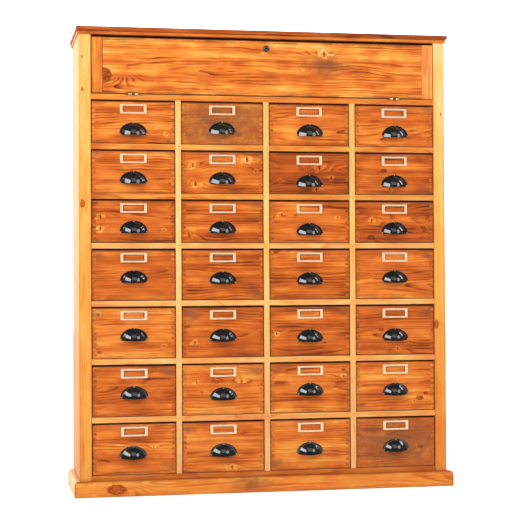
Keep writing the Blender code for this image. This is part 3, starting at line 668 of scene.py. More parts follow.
class CABINET_OT_carcass(bpy.types.Operator):
    """Sides, stiles, shelves, partitions and the boards above and below the drawers"""

    bl_idname = "cabinet.carcass"
    bl_label = "Carcass"

    def execute(self, context):
        rng, arris = draws(0), context.scene.cabinet_pine.arris
        for side, sign in SIDES:
            self.stile(side, rng, arris)
            self.lining(side, sign, rng)
            self.panel(side, sign, rng)
        low, high = box_of("base_board")
        base = carried(housed_outline("base_board", False), 2, eased(low[2], high[2], arris / 2))
        wooden("base_shelf", [board(base, 0, (0.4, 0.7, 0.2), rng)], "base_board")
        self.compartment_floor(rng, arris)
        for number in range(1, ROWS):
            self.shelf(number, rng, arris)
        for number in range(1, COLUMNS):
            self.partition(number, rng, arris)
        self.nails(rng)
        return {"FINISHED"}

    def stile(self, side, rng, arris):
        low, high = box_of(f"stile_{side}")
        shape = carried(rectangle(low[[0, 2]], high[[0, 2]]), 1, eased(low[1], high[1], arris))
        knots, foot, head = STILES[side]
        made = board(
            shape, 2, (foot, 0.42, 0.2), rng, knots, (-60.0, -30.0), far_tone_and_light=(head, 0.42, 0.1))
        wooden(f"face_stile_{side}", [made], f"stile_{side}")

    def lining(self, side, sign, rng):
        """Housed for every shelf, so its inner face steps in at each board's end."""
        low, high = box_of(f"side_lining_{side}")
        near, far = (low[0], high[0])[::sign]
        housed = near + sign * HOUSING
        outline = [(far, low[2]), (far, high[2]), (near, high[2])]
        for name in ("compartment_floor", *(f"drawer_shelf_{n}" for n in range(1, ROWS))):
            foot, head = (corner[2] for corner in box_of(name))
            outline += [(near, head + FIT), (housed, head + FIT)]
            outline += [(housed, foot - FIT), (near, foot - FIT)]
        head = box_of("base_board")[1][2] + FIT
        outline += [(near, head), (housed, head), (housed, low[2])]
        shape = carried(outline, 1, [(low[1], 0), (high[1], 0)])
        wooden(f"lining_{side}", [board(shape, 2, (0.4, 0.5, 0.2), rng)], f"side_lining_{side}")

    def panel(self, side, sign, rng):
        """Staves glued edge to edge, the last rebated for the back boards."""
        low, high = box_of(f"side_panel_{side}")
        inner, outer = (low[0], high[0])[::sign]
        staves, deep, glue = 3, 8 * MM, 0.4 * MM
        rebate = (inner + sign * deep, box_of("back_panel")[0][1] - FIT)
        edges = np.linspace(low[1], high[1], staves + 1)
        parts = []
        for index, (near, far) in enumerate(zip(edges, edges[1:])):
            outline = [(inner, near), (outer - sign * glue, near), (outer, near + glue)]
            outline += [(outer, far - glue), (outer - sign * glue, far)]
            last = [(rebate[0], far), rebate, (inner, rebate[1])]
            outline += last if index == staves - 1 else [(inner, far)]
            shape = carried(outline, 2, eased(low[2], high[2], glue))
            knots = scattered(rng, 35, 5, 10)
            tone = rng.uniform(0.36, 0.4)
            # Paler at the head: painted light, the side's top lit brighter than its foot
            head = (tone - 0.17, 0.5, 0.05)
            parts.append(board(shape, 2, (tone, 0.5, 0.15), rng, knots, far_tone_and_light=head))
        wooden(f"outer_side_{side}", parts, f"side_panel_{side}")

    def compartment_floor(self, rng, arris):
        """Its top face is let in for the hinges, so the last millimetre has two notches."""
        low, high = box_of("compartment_floor")
        outline = housed_outline("compartment_floor", False)
        notched = [outline[0], *hinge_lets(low[1]), *outline[1:]]
        seat = high[2] - LET_IN
        shape = joined(
            carried(outline, 2, eased(low[2], seat, arris / 2)[:3] + [(seat, 0)]),
            carried(notched, 2, [(seat, 0), (high[2] - arris / 4, 0), (high[2], arris / 4)]))
        made = board(shape, 0, (0.39, 0.7, 0.1), rng, heart=(20.0, -60.0))
        wooden("floor_of_compartment", [made], "compartment_floor")

    def shelf(self, number, rng, arris):
        node = f"drawer_shelf_{number}"
        low, high = box_of(node)
        shape = carried(housed_outline(node, True), 2, eased(low[2], high[2], arris / 2))
        depth = 0.35 + rng.uniform(-0.03, 0.03)
        # The lower four shelves are rubbed pale: painted sheen, the floor's reflection on the lower
        # boards; the upper two have soiled edges
        made = board(shape, 0, (depth, 0.75, 0.12 if number < 3 else -0.1), rng)
        wooden(f"shelf_{number}", [made], node)

    def partition(self, number, rng, arris):
        """A board along Z, slotted from the back for each shelf."""
        low, high = box_of(f"partition_{number}")
        middle = (low[1] + high[1]) / 2 - FIT
        outline = [(low[1], low[2]), (high[1], low[2])]
        for shelf in range(ROWS - 1, 0, -1):
            foot, head = (corner[2] for corner in box_of(f"drawer_shelf_{shelf}"))
            outline += [(high[1], foot - FIT), (middle, foot - FIT)]
            outline += [(middle, head + FIT), (high[1], head + FIT)]
        outline += [(high[1], high[2]), (low[1], high[2])]
        shape = carried(outline, 0, eased(low[0], high[0], arris / 2))
        foot, head = PARTITION_TONES[number - 1]
        # The pale rubbed colour at the foot is painted sheen, the floor's reflection low down; the
        # head's edges are soiled
        made = board(
            shape, 2, (foot, 0.5, -0.22), rng, heart=(40.0, -60.0), far_tone_and_light=(head, 0.45, 0.1))
        wooden(f"divider_{number}", [made], f"partition_{number}")

    def nails(self, rng):
        """Punched and stopped nail holes where a shelf crosses a partition."""
        dots = []
        for shelf in range(1, ROWS):
            low, high = box_of(f"drawer_shelf_{shelf}")
            for number in range(1, COLUMNS):
                near, far = box_of(f"partition_{number}")
                x = (near[0] + far[0]) / 2 + rng.uniform(-2, 2) * MM
                z = (low[2] + high[2]) / 2 + rng.uniform(-2, 2) * MM
                radius = rng.uniform(1.3, 1.9) * MM
                section = [(radius * 0.8, -0.12 * MM), (radius, -0.05 * MM), (radius, 0.3 * MM)]
                dots.append(plain(turned(section, (x, low[1], z), 1, 8)))
        nodes = [f"partition_{number}" for number in range(1, COLUMNS)]
        piece("stopped_nails", [dots], [JAPAN], "carcass", nodes)


class CABINET_OT_top(bpy.types.Operator):
    """The top board with its moulded edge"""

    bl_idname = "cabinet.top"
    bl_label = "Top"

    def execute(self, context):
        rng = draws(1)
        low, high = box_of("top_board")
        edge, front = box_of("stile_right")[1][0], box_of("stile_right")[0][1]
        corners = (
            (-edge, front, -1, -1), (edge, front, 1, -1), (edge, high[1], 1, 0),
            (-edge, high[1], -1, 0))
        reach, thick = high[0] - edge, high[2] - low[2]
        # A half round over a quirk, over a quarter hollow
        band, radius = 14 * MM, 4.5 * MM
        quirk, ovolo, foot, tall = 1 * MM, 5 * MM, 1.5 * MM, thick - 16.5 * MM
        bead = np.linspace(-math.pi / 2, math.pi / 2, 13)
        middle = np.where(bead < 0, thick - band + radius, thick - radius)
        slab = np.stack([reach - radius + radius * np.cos(bead), middle + radius * np.sin(bead)], 1)
        turn = np.linspace(0, math.pi / 2, 7)
        curve = np.stack([foot + (ovolo - foot) * np.sin(turn), tall * (1 - np.cos(turn))], 1)
        neck = [(quirk, tall), (quirk, thick - band + 0.5 * MM)]
        slab, bed = (
            tube(mitred(section, corners, low[2]).swapaxes(0, 1))
            for section in (slab, np.concatenate([curve, neck])))
        parts = [
            board(slab, 0, (0.67, 0.7, 0.1), rng, heart=(30.0, -40.0)),
            board(bed, 0, (0.46, 0.7, 0.1), rng)]
        wooden("moulded_top", parts, "top_board", smooth=35)
        return {"FINISHED"}


class CABINET_OT_plinth(bpy.types.Operator):
    """The plinth's front board and its two mitred returns"""

    bl_idname = "cabinet.plinth"
    bl_label = "Plinth"

    def execute(self, context):
        rng = draws(2)
        low, high = box_of("plinth_front")
        back = box_of("plinth_right")[1][1]
        edge, front = box_of("stile_right")[1][0], box_of("stile_right")[0][1]
        thick, gap, height = high[1] - low[1], front - high[1], high[2]
        # Square below, with a quarter round at its upper edge
        radius = 11 * MM
        angle = np.linspace(0, math.pi / 2, 9)
        nose = np.stack([
            gap + thick - radius + radius * np.cos(angle), height - radius + radius * np.sin(angle)
        ], 1)
        section = np.concatenate([[(gap, 0.0), (gap + thick, 0.0)], nose, [(gap, height)]])
        half_gap = FIT / 2
        ends = [(-edge + half_gap, front, -1, -1), (edge - half_gap, front, 1, -1)]
        made = board(
            tube(mitred(section, ends)), 0, (0.39, 0.75, 0.3), rng, [(-492.0, -2.0, 17.0)],
            (20.0, -50.0), far_tone_and_light=(0.47, 0.75, 0.3), smudge=(-52.0, 6.0, 24.0))
        wooden("plinth_front_board", [made], "plinth_front", smooth=35)
        for name, side in reversed(SIDES):
            ends = [(side * edge, front + half_gap, side, -1), (side * edge, back, side, 0)]
            shape = tube(mitred(section, ends[::side]))
            # The left return is much paler: painted light, that end faces the lamp on the left
            made = board(shape, 1, ({"right": 0.36, "left": 0.16}[name], 0.6, 0.1), rng)
            wooden(f"plinth_return_{name}", [made], f"plinth_{name}", smooth=35)
        return {"FINISHED"}


class CABINET_OT_back(bpy.types.Operator):
    """The back's row of vee-jointed boards"""

    bl_idname = "cabinet.back"
    bl_label = "Back"

    def execute(self, context):
        rng = draws(3)
        low, high = box_of("back_panel")
        boards, vee, gap = 11, 2.5 * MM, 0.2 * MM
        edges = np.linspace(low[0], high[0], boards + 1)
        parts = []
        for near, far in zip(edges + gap, edges[1:] - gap):
            outline = [(near, low[1]), (far, low[1]), (far, high[1] - vee), (far - vee, high[1])]
            outline += [(near + vee, high[1]), (near, high[1] - vee)]
            shape = carried(outline, 2, eased(low[2], high[2], 0.6 * MM))
            knots = scattered(rng, 40, 6, 12)
            parts.append(board(shape, 2, (rng.uniform(0.2, 0.27), 0.7, 0.2), rng, knots))
        wooden("back_boards", parts, "back_panel")
        return {"FINISHED"}


class CABINET_OT_flap(bpy.types.Operator):
    """The flap's field board, end cleats and knob"""

    bl_idname = "cabinet.flap"
    bl_label = "Flap"

    def execute(self, context):
        rng, arris = draws(4), context.scene.cabinet_pine.arris
        low, high = box_of("flap_panel")
        shoulder = box_of("flap_cleat_right")[0][0] - FIT
        middle, half = (low[1] + high[1]) / 2, 3 * MM
        seat = low[2] + LET_IN
        notched = [(-shoulder, low[1]), *hinge_lets(low[1])]
        notched += [(shoulder, low[1]), (shoulder, high[1]), (-shoulder, high[1])]
        tongue = rectangle((low[0], middle - half), (high[0], middle + half))
        plate = rectangle((-shoulder, seat), (shoulder, high[2]))
        shape = joined(
            carried(notched, 2, [(low[2], arris / 4), (low[2] + arris / 4, 0), (seat + arris, 0)]),
            carried(plate, 1, eased(low[1], high[1], arris)),
            carried(tongue, 2, [(low[2], 0), (high[2], 0)]))
        # A burl by the left cleat, and a pale splinter over a smudge
        knots = [(-530.0, -19.0, 12.0), (-525.0, -31.0, 13.0), (-529.0, -45.0, 13.0)]
        knots.append((196.0, 52.0, -10.0))
        field = board(
            shape, 0, (0.515, 1.28, 0.7), rng, knots, (-14.0, -20.0),
            far_tone_and_light=(0.495, 1.28, 0.7), smudge=(200.0, 16.0, 34.0))
        wooden("flap_field", [field], "flap_panel", "flap")
        for side, sign in SIDES:
            self.cleat(side, sign, middle, half + FIT, rng, arris)
        self.knob()
        return {"FINISHED"}

    def cleat(self, side, sign, middle, half, rng, arris):
        """An end board with its grain upright, grooved for the field's tongue."""
        low, high = box_of(f"flap_cleat_{side}")
        inner, outer = (low[0], high[0])[::sign]
        groove, ease = 12.6 * MM, arris / 2
        deep = inner + sign * groove
        outline = [(inner, low[1] + ease), (inner + sign * ease, low[1])]
        outline += [(outer - sign * ease, low[1]), (outer, low[1] + ease), (outer, high[1])]
        outline += [(inner, high[1]), (inner, middle + half), (deep, middle + half)]
        outline += [(deep, middle - half), (inner, middle - half)]
        shape = carried(outline, 2, eased(low[2], high[2], arris))
        depth, wear_soil_and_light = {"left": (0.45, 0.3), "right": (0.42, -0.08)}[side]
        made = board(shape, 2, (depth, 0.7, wear_soil_and_light), rng)
        wooden(f"flap_end_{side}", [made], f"flap_cleat_{side}", "flap")

    def knob(self):
        """Turned: a foot, a waist by a sine, and a flattened ball for a head."""
        low, high = box_of("flap_knob")
        middle = (low + high) / 2
        radius, stem = (high[0] - low[0]) / 2, high[1] - low[1]
        section = [(radius * 0.72, 0), (radius * 0.72, stem * 0.09)]
        waist = np.linspace(0, 1, 7)[1:]
        neck = radius * (0.72 - 0.26 * np.sin(waist * math.pi / 2))
        section += [(r, stem * (0.09 + 0.3 * w)) for r, w in zip(neck, waist)]
        section += [
            (radius * math.sqrt(1 - (0.99 * s) ** 2), stem * (0.42 + 0.29 * (s + 1)))
            for s in np.linspace(-1, 1, 13)]
        section = [(r, -along) for r, along in reversed(section)]
        shape = plain(turned(section, (middle[0], high[1], middle[2]), 1, 40))
        piece("turned_knob", [[shape]], [JAPAN], "flap", ["flap_knob"], smooth=40)


def comb(low, high, finger, count, depth_low, depth_high, first):
    """The outline of a board's end with square fingers, as (across, along) points from low to
    high. Fingers reach depth_high and depth_low by turns, depth_high first where first is true."""
    edges = low + np.arange(count + 1) * finger
    edges[-1] = high
    out = []
    for index in range(count):
        reach = depth_high if (index % 2 == 0) == first else depth_low
        out += [(edges[index], reach), (edges[index + 1], reach)]
    return out


# Knots on the drawer fronts: millimetres right of and above the middle, and a radius, which is
# negative for a pale patch of resin with a dark slit
DRAWER_KNOTS = {
    (1, 1): ((108, -34, -4),),
    (2, 2): ((-96, 25, -7), (-88, -36, -9), (81, 44, -9), (110, 6, -5)),
    (2, 3): ((34, 20, -9), (74, -12, -6), (24, -52, -8), (-98, -24, -4)),
    (2, 4): ((-36, 12, 6), (-16, -50, -6)),
    (3, 1): ((-106, 16, -8), (-107, -22, -7), (95, -26, -4)),
    (3, 2): ((-110, -42, -9),),
    (3, 3): ((-92, 24, -6), (-46, 22, 3), (96, 16, -4)),
    (3, 4): ((-78, 6, -6), (-80, -48, 7), (98, -17, 5), (94, -52, 4)),
    (4, 3): ((-112, 74, 5),),
    (5, 1): ((-114, 58, -5), (95, -42, -5), (-110, -60, 4)),
    (5, 2): ((-92, -32, -6), (-114, 20, 4)),
    (5, 3): ((-112, -6, -5), (50, -38, 3)),
    (5, 4): ((-46, 2, 5), (8, -60, -6), (52, -38, 3)),
    (6, 2): ((-87, 25, -5), (-22, 25, 6), (60, 26, -7), (-70, -8, 3)),
    (6, 3): ((112, 58, 4), (113, 36, -5)),
    (6, 4): ((84, -40, 7), (104, -24, 5), (66, -50, -4)),
    (7, 1): ((62, 4, -4),),
    (7, 2): ((28, -66, -7),),
    (7, 4): ((85, -16, 6), (104, -30, -4)),
}
# Fronts that stand out, in steps of stain deeper or paler than the rest
FRONT_STEPS = {
    (2, 3): 3, (2, 4): 2, (3, 4): 2, (6, 1): 1.5, (3, 1): 1, (3, 2): 0.5, (5, 3): 1,
    (4, 1): 0.5, (4, 2): 0.5, (5, 2): 0.5, (5, 4): 0.5, (6, 3): 0.5, (1, 1): -0.5, (7, 2): -0.5,
    (2, 1): -1, (6, 4): -1, (7, 3): -1, (4, 4): -1.5, (5, 1): -2, (6, 2): -2.5,
}
HAZY_FRONTS = ((1, 2), (7, 4))
FRONT_STEP = 0.05
FRONT_STAIN = 0.612  # in the deepest row, from which it falls off by squares of rows
DEEPEST_ROW = 3.6
ROW_FALL = 0.004
FRONT_CORNER = (118.0, 60.0)  # where smudges sit, in millimetres from a front's middle
FINGER = 8.5 * MM  # a comb joint's fingers are as wide as this or a little wider


class CABINET_OT_drawers(bpy.types.Operator):
    """The drawers' boards, comb-jointed at every corner"""

    bl_idname = "cabinet.drawers"
    bl_label = "Drawers"

    def execute(self, context):
        rng = draws(5)
        for drawer in each_drawer():
            self.drawer(*drawer, context.scene.cabinet_iron.pull_depth, rng)
        return {"FINISHED"}

    def drawer(self, row, column, node, low, high, pull_depth, rng):
        face = low[1] + pull_depth
        front, side, floor = 15 * MM, 13 * MM, 6 * MM
        raised, gap, arris = 8 * MM, 0.12 * MM, 0.8 * MM
        count = 2 * int((high[2] - low[2]) / (2 * FINGER)) + 1
        finger = (high[2] - low[2]) / count
        fingers = partial(comb, low[2], high[2], finger, count)
        inner = (low[0] + side, high[0] - side)

        def plate(near, far):
            """A comb-jointed plate across the drawer, from one y to another."""
            left = fingers(inner[0] + gap, low[0], True)
            right = fingers(inner[1] - gap, high[0], True)
            outline = [(x, z) for z, x in right] + [(x, z) for z, x in reversed(left)]
            return carried(outline, 1, eased(near, far, arris))

        def wall(x_low, x_high):
            """A comb-jointed wall from front to back."""
            near = fingers(face + front + gap, face, False)
            far = fingers(high[1] - side - gap, high[1], False)
            outline = [(y, z) for z, y in far] + [(y, z) for z, y in reversed(near)]
            return carried(outline, 0, eased(x_low, x_high, arris))

        # The fronts in the middle rows are darkest, and each front darkens a little towards its right
        moved = FRONT_STEP * FRONT_STEPS.get((row, column), 0)
        even = FRONT_STAIN - ROW_FALL * (row - DEEPEST_ROW) ** 2
        depth = even + moved + rng.uniform(-0.02, 0.02)
        contrast = rng.uniform(0.85, 1.15)
        heart = (rng.uniform(-50, 50), -rng.uniform(12, 45))
        smudge = (*(rng.choice([-1, 1]) * at for at in FRONT_CORNER), rng.uniform(4, 20))
        if (row, column) in HAZY_FRONTS:
            depth, contrast, smudge = depth - 0.01, 0.8, (0.0, 0.0, 112.0)
        left, right = ((depth + change, contrast, 0.5) for change in (-0.012, 0.018))
        knots = DRAWER_KNOTS.get((row, column), ())
        made = board(plate(face, face + front), 0, left, rng, knots, heart, right, smudge)
        wooden(node.replace("drawer", "front"), [made], node, node)
        paler = (depth + rng.uniform(-0.1, 0.05), 0.7, rng.uniform(0.1, 0.5))
        outline = rectangle((inner[0], face + front), (inner[1], high[1] - side))
        bottom = [(low[2] + raised, 0), (low[2] + raised + floor, 0)]
        parts = [
            board(plate(high[1] - side, high[1]), 0, paler, rng),
            board(wall(low[0], low[0] + side), 1, paler, rng),
            board(wall(high[0] - side, high[0]), 1, paler, rng),
            board(carried(outline, 2, bottom), 0, (0.25, 0.5, 0.2), rng)]
        wooden(node.replace("drawer", "box"), parts, node, node)


class CABINET_OT_card_frames(bpy.types.Operator):
    """A pressed brass card frame with two pins on each drawer"""

    bl_idname = "cabinet.card_frames"
    bl_label = "Card frames"

    def execute(self, context):
        iron, rng = context.scene.cabinet_iron, draws(6)
        half = iron.frame_width / 2, iron.frame_height / 2
        pressed = self.pressing(*half, (
            (0, 0, 0.0), (0, 0, -2.2), (0.4, 0.4, -2.9), (1.0, 1.0, -3.1), (4.5, 2.6, -2.9),
            (8.2, 4.7, -3.1), (8.9, 5.2, -2.8), (9.2, 5.5, -2.2), (9.0, 5.3, -1.6),
            (6.0, 3.0, -1.6), (2.0, 1.6, 0.0)))
        # A patinated channel just inside the window: the brass's patina, and painted shade where the
        # raised frame shades the wood
        patina_and_shade_ledge = self.pressing(*half, (
            (8.0, 4.2, 0.0), (8.0, 4.2, -1.1), (11.2, 6.5, -1.1), (11.5, 6.7, 0.0)))
        for _, _, node, low, high in each_drawer():
            face, head = low[1] + iron.pull_depth, high[2] - iron.frame_drop
            middle = np.array([(low[0] + high[0]) / 2, face, head - iron.frame_height / 2])
            pins = []
            for sign in (-1, 1):
                seat = middle + np.array([sign * (iron.frame_width / 2 - 5 * MM), -2.9 * MM, 0])
                pins.append(screw(seat, 1.2 * MM, rng.uniform(0, math.pi)))
            shapes = [plain((points + middle, faces)) for points, faces in (pressed, patina_and_shade_ledge)]
            piece(
                node.replace("drawer", "card_frame"), [[shapes[0], *pins], [shapes[1]]],
                [BRASS, PATINA], node, [node], smooth=40)
        return {"FINISHED"}

    def pressing(self, half_width, half_height, levels):
        """Rounded rectangles that shrink from the outer edge to the window and back under: each
        level is how far it is drawn in sideways and upwards, and its y, in millimetres."""
        loops = np.stack([
            rounded_rectangle(
                half_width - dx * MM, half_height - dz * MM, (1.6 - 0.1 * min(dx, 8)) * MM, 4)
            for dx, dz, _ in levels])
        points = np.empty((*loops.shape[:2], 3))
        points[..., [0, 2]] = loops
        points[..., 1] = np.array([y for _, _, y in levels])[:, None] * MM
        faces = grid_faces(*loops.shape[:2], ring_rows=True, ring_columns=True)
        return points.reshape(-1, 3), faces.tolist()


# How many millimetres above the even line each cup pull was screwed on, row by row
PULL_RISES = (
    (2, 8, 5, 5),
    (5, 5, -2, 0),
    (5, 5, -1, 3),
    (5, 0, -3, 1),
    (5, 0, -5, -5),
    (5, -4, 5, 0),
    (-1, 0, -3, 0),
)
# Millimetres right of a front's middle, for the pulls that were screwed on off it
PULL_SHIFTS = {(1, 3): 3, (1, 4): 3, (7, 1): -4, (7, 3): -2}


class CABINET_OT_cup_pulls(bpy.types.Operator):
    """A japanned cup pull with three screws on each drawer"""

    bl_idname = "cabinet.cup_pulls"
    bl_label = "Cup pulls"

    def execute(self, context):
        iron, rng = context.scene.cabinet_iron, draws(7)
        casting = [self.flange(iron), self.cup(iron)]
        half, tall = iron.pull_width / 2, iron.pull_height
        seats = [(-half + 2.6 * MM, 4 * MM), (half - 2.6 * MM, 4 * MM), (0.0, tall - 2.2 * MM)]
        drop = iron.frame_drop + iron.frame_height + iron.pull_gap + tall
        for row, column, node, low, high in each_drawer():
            foot = high[2] - drop + PULL_RISES[row - 1][column - 1] * MM
            across = (low[0] + high[0]) / 2 + PULL_SHIFTS.get((row, column), 0) * MM
            middle = np.array([across, low[1] + iron.pull_depth, foot])
            parts = [plain((points + middle, faces)) for points, faces in casting]
            screws = [
                screw(middle + np.array([x, -1.7 * MM, z]), 1.6 * MM, rng.uniform(0, math.pi))
                for x, z in seats]
            piece(
                node.replace("drawer", "cup_pull"), [parts, screws], [JAPAN, ZINC], node, [node],
                smooth=45, merge=True)
        return {"FINISHED"}

    def flange(self, iron):
        """A band round the cup: at each foot the outer edge is a quarter circle about a screw,
        and between the feet it is a half ellipse, raised by a narrow bell curve at its crown; the
        inner edge is a smaller half ellipse."""
        half, tall, ear = iron.pull_width / 2, iron.pull_height, 6 * MM
        foot = np.linspace(-math.pi / 2, 0, 7)[:-1]
        angle = np.linspace(0, math.pi / 2, 22)
        crest = 1 + 0.02 * np.exp(-(((angle - math.pi / 2) / 0.16) ** 2))
        outer = np.concatenate([
            np.stack([half - ear + ear * np.cos(foot), ear + ear * np.sin(foot)], 1),
            np.stack([half * np.cos(angle), ear + (tall / 1.02 - ear) * np.sin(angle) * crest], 1),
        ])
        within = np.linspace(0, math.pi / 2, len(outer))
        inner = (half - 6.5 * MM) * np.cos(within), (tall - 6 * MM) * np.sin(within)
        outer, inner = (
            np.concatenate([edge, (edge * np.array([-1, 1]))[-2::-1]])
            for edge in (outer, np.stack(inner, 1)))
        # From the wood up over the outer edge, across to the inner edge and down again
        levels = [(0.0, 0.0), (0.0, -1.2), (0.12, -1.65), (0.4, -1.8), (1.0, -1.8), (1.0, 0.0)]
        count = len(outer)
        points = np.empty((len(levels), count, 3))
        for index, (share, y) in enumerate(levels):
            points[index, :, 0::2] = outer * (1 - share) + inner * share
            points[index, :, 1] = y * MM
        faces = grid_faces(len(levels), count, ring_rows=True).tolist()
        first = [i * count for i in range(len(levels))]
        faces += [first, [i + count - 1 for i in first][::-1]]
        return points.reshape(-1, 3), faces

    def cup(self, iron):
        """Half a shell with a wall: plan half-ellipses that shrink upwards by a cosine, and stand
        out by the 2.4th power of that cosine times their own sine, so that the shell leaves the
        flange on a slant. Out and up over the outside, then back down the inside. The rim dips
        by a sine squared."""
        width, tall = iron.pull_width / 2 - 4 * MM, iron.pull_height - 4 * MM
        wall, depth = iron.pull_wall, iron.pull_depth
        around = math.pi / 2 * (1 - np.cos(np.linspace(0, math.pi, 37)))
        up = math.pi / 2 * np.sin(np.linspace(0, math.pi / 2, 17))
        rows = []
        for a, h, d, sweep in (
            (width, tall, depth, up), (width - wall, tall - wall, depth - wall, up[::-1])
        ):
            share, rise = np.cos(sweep)[:, None], np.sin(sweep)[:, None]
            dip = 2 * MM * np.sin(around) ** 2 * (1 - rise) ** 2
            out = d * np.clip(share * np.sin(around), 0, 1) ** 2.4
            rows.append(np.stack([a * share * np.cos(around), -out, h * rise - dip], -1))
        lip = (rows[0][0] + rows[1][-1]) / 2 - np.array([0, 0, 0.9 * MM])
        points = np.concatenate([rows[0], rows[1], lip[None]]) + np.array([0, 0, MM])
        count = len(around)
        faces = grid_faces(len(points), count, ring_rows=True).tolist()
        first = [i * count for i in range(len(points))]
        faces += [first, [i + count - 1 for i in first][::-1]]
        return points.reshape(-1, 3), faces


class CABINET_OT_hardware(bpy.types.Operator):
    """The two butt hinges, the magnetic catch and its strike plate"""

    bl_idname = "cabinet.hardware"
    bl_label = "Hinges and catch"

    def execute(self, context):
        rng = draws(8)
        front, top = box_of("stile_right")[0][1], box_of("compartment_floor")[1][2]
        for side, _ in SIDES:
            low, high = box_of(f"hinge_carcass_leaf_{side}")
            axis = np.array([(low[0] + high[0]) / 2, front - PIN_OUT, top + 1 * MM])
            self.leaf(f"lower_leaf_{side}", f"hinge_carcass_leaf_{side}", axis, 0, rng)
            self.leaf(f"upper_leaf_{side}", f"hinge_flap_leaf_{side}", axis, 1, rng)
        self.strike(rng)
        self.catch(rng)
        return {"FINISHED"}

    def leaf(self, name, node, axis, first, rng):
        """A plate with a tab to each of its knuckles, the knuckles as turned barrels about the
        axis, their stop lugs as parts of a ring, and three screws."""
        half, pitch, knuckle_radius = 25 * MM, 10 * MM, 3 * MM
        back, tab, lug = 18.3 * MM, 0.8 * MM, 5 * MM
        spread, behind, head = 17 * MM, 11 * MM, 2.9 * MM
        up = 1 if first else -1
        levels = sorted((up * 0.3 * MM, up * 1.5 * MM))
        outline = [(half, back), (-half, back)]
        outline += [(-half, PIN_OUT)] if first else []
        parts, rubbed = [], []
        for knuckle in range(first, 5, 2):
            start = -half + knuckle * pitch + (FIT if knuckle else 0)
            stop = start + pitch - FIT * (2 if 0 < knuckle < 4 else 1)
            outline += [(start, PIN_OUT), (start, tab), (stop, tab), (stop, PIN_OUT)]
            ends = eased(start, stop, 0.4 * MM)
            section = [(knuckle_radius - drawn, along) for along, drawn in ends]
            (rubbed if first else parts).append(plain(turned(section, axis, 0, 28)))
        outline += [(half, PIN_OUT)] if first else []
        plate, faces = carried(outline, 2, eased(*levels, 0.15 * MM))
        parts.append(plain((plate + axis, faces)))
        for sign in (-1, 1) if first else (1,):
            start, turn, reach = (118, 27, 3.3) if first else (239, 27, 2.7)
            ring = ring_sector(reach * MM, lug, start, turn, 6)
            across = (0.8 * MM, 14.7 * MM) if first else (-4.4 * MM, 4.4 * MM)
            low, high = sorted(sign * a for a in across)
            points, faces = carried(ring, 0, [(low, 0), (high, 0)])
            parts.append(plain((points + axis, faces)))
        heads = []
        for x in (-spread, 0, spread):
            seat = axis + np.array([x, behind, levels[0] if first else levels[1]])
            heads.append(screw(seat, head, rng.uniform(0, math.pi), -up * 2))
        piece(
            name, [parts + heads, rubbed] if first else [parts + heads], [PATINA, BRASS],
            "flap" if first else "carcass", [node], smooth=40)

    def strike(self, rng):
        """A thin plate with round corners and two screws."""
        low, high = box_of("flap_strike_plate")
        middle = (low + high) / 2
        outline = rounded_rectangle((high[0] - low[0]) / 2, (high[2] - low[2]) / 2, 3 * MM, 5)
        plate = carried(outline + middle[[0, 2]], 1, eased(low[1], high[1], 0.3 * MM))
        heads = [
            screw((middle[0] + x, high[1], middle[2]), 2.4 * MM, rng.uniform(0, math.pi), 1)
            for x in (-12 * MM, 12 * MM)]
        piece(
            "strike_plate", [[plain(plate)], heads], [ZINC, ZINC], "flap", ["flap_strike_plate"],
            smooth=40)

    def catch(self, rng):
        """A case with a screwed foot each side and two steel poles in its front."""
        low, high = box_of("flap_catch")
        middle = (low + high) / 2
        half, pole, foot = 22 * MM, 17 * MM, 2.5 * MM
        outline = rectangle((middle[0] - half, low[2]), (middle[0] + half, high[2]))
        case = carried(outline, 1, eased(low[1] + 0.6 * MM, high[1], 1.2 * MM))
        outline = rectangle((low[0], low[1] + 2 * MM), (high[0], high[1] - 2 * MM))
        feet = carried(outline, 2, eased(high[2] - foot, high[2], 0.5 * MM))
        poles = []
        for z in (middle[2] - 4 * MM, middle[2] + 2 * MM):
            outline = rectangle((middle[0] - pole, z - MM), (middle[0] + pole, z + MM))
            poles.append(plain(carried(outline, 1, eased(low[1], low[1] + 4 * MM, 0.2 * MM))))
        heads = [
            screw((middle[0] + x, middle[1], high[2] - foot), 2.4 * MM, rng.uniform(0, 3), -2)
            for x in (-26.5 * MM, 26.5 * MM)]
        piece(
            "magnetic_catch", [[plain(case), plain(feet)], poles + heads], [JAPAN, ZINC],
            "carcass", ["flap_catch"], smooth=50)


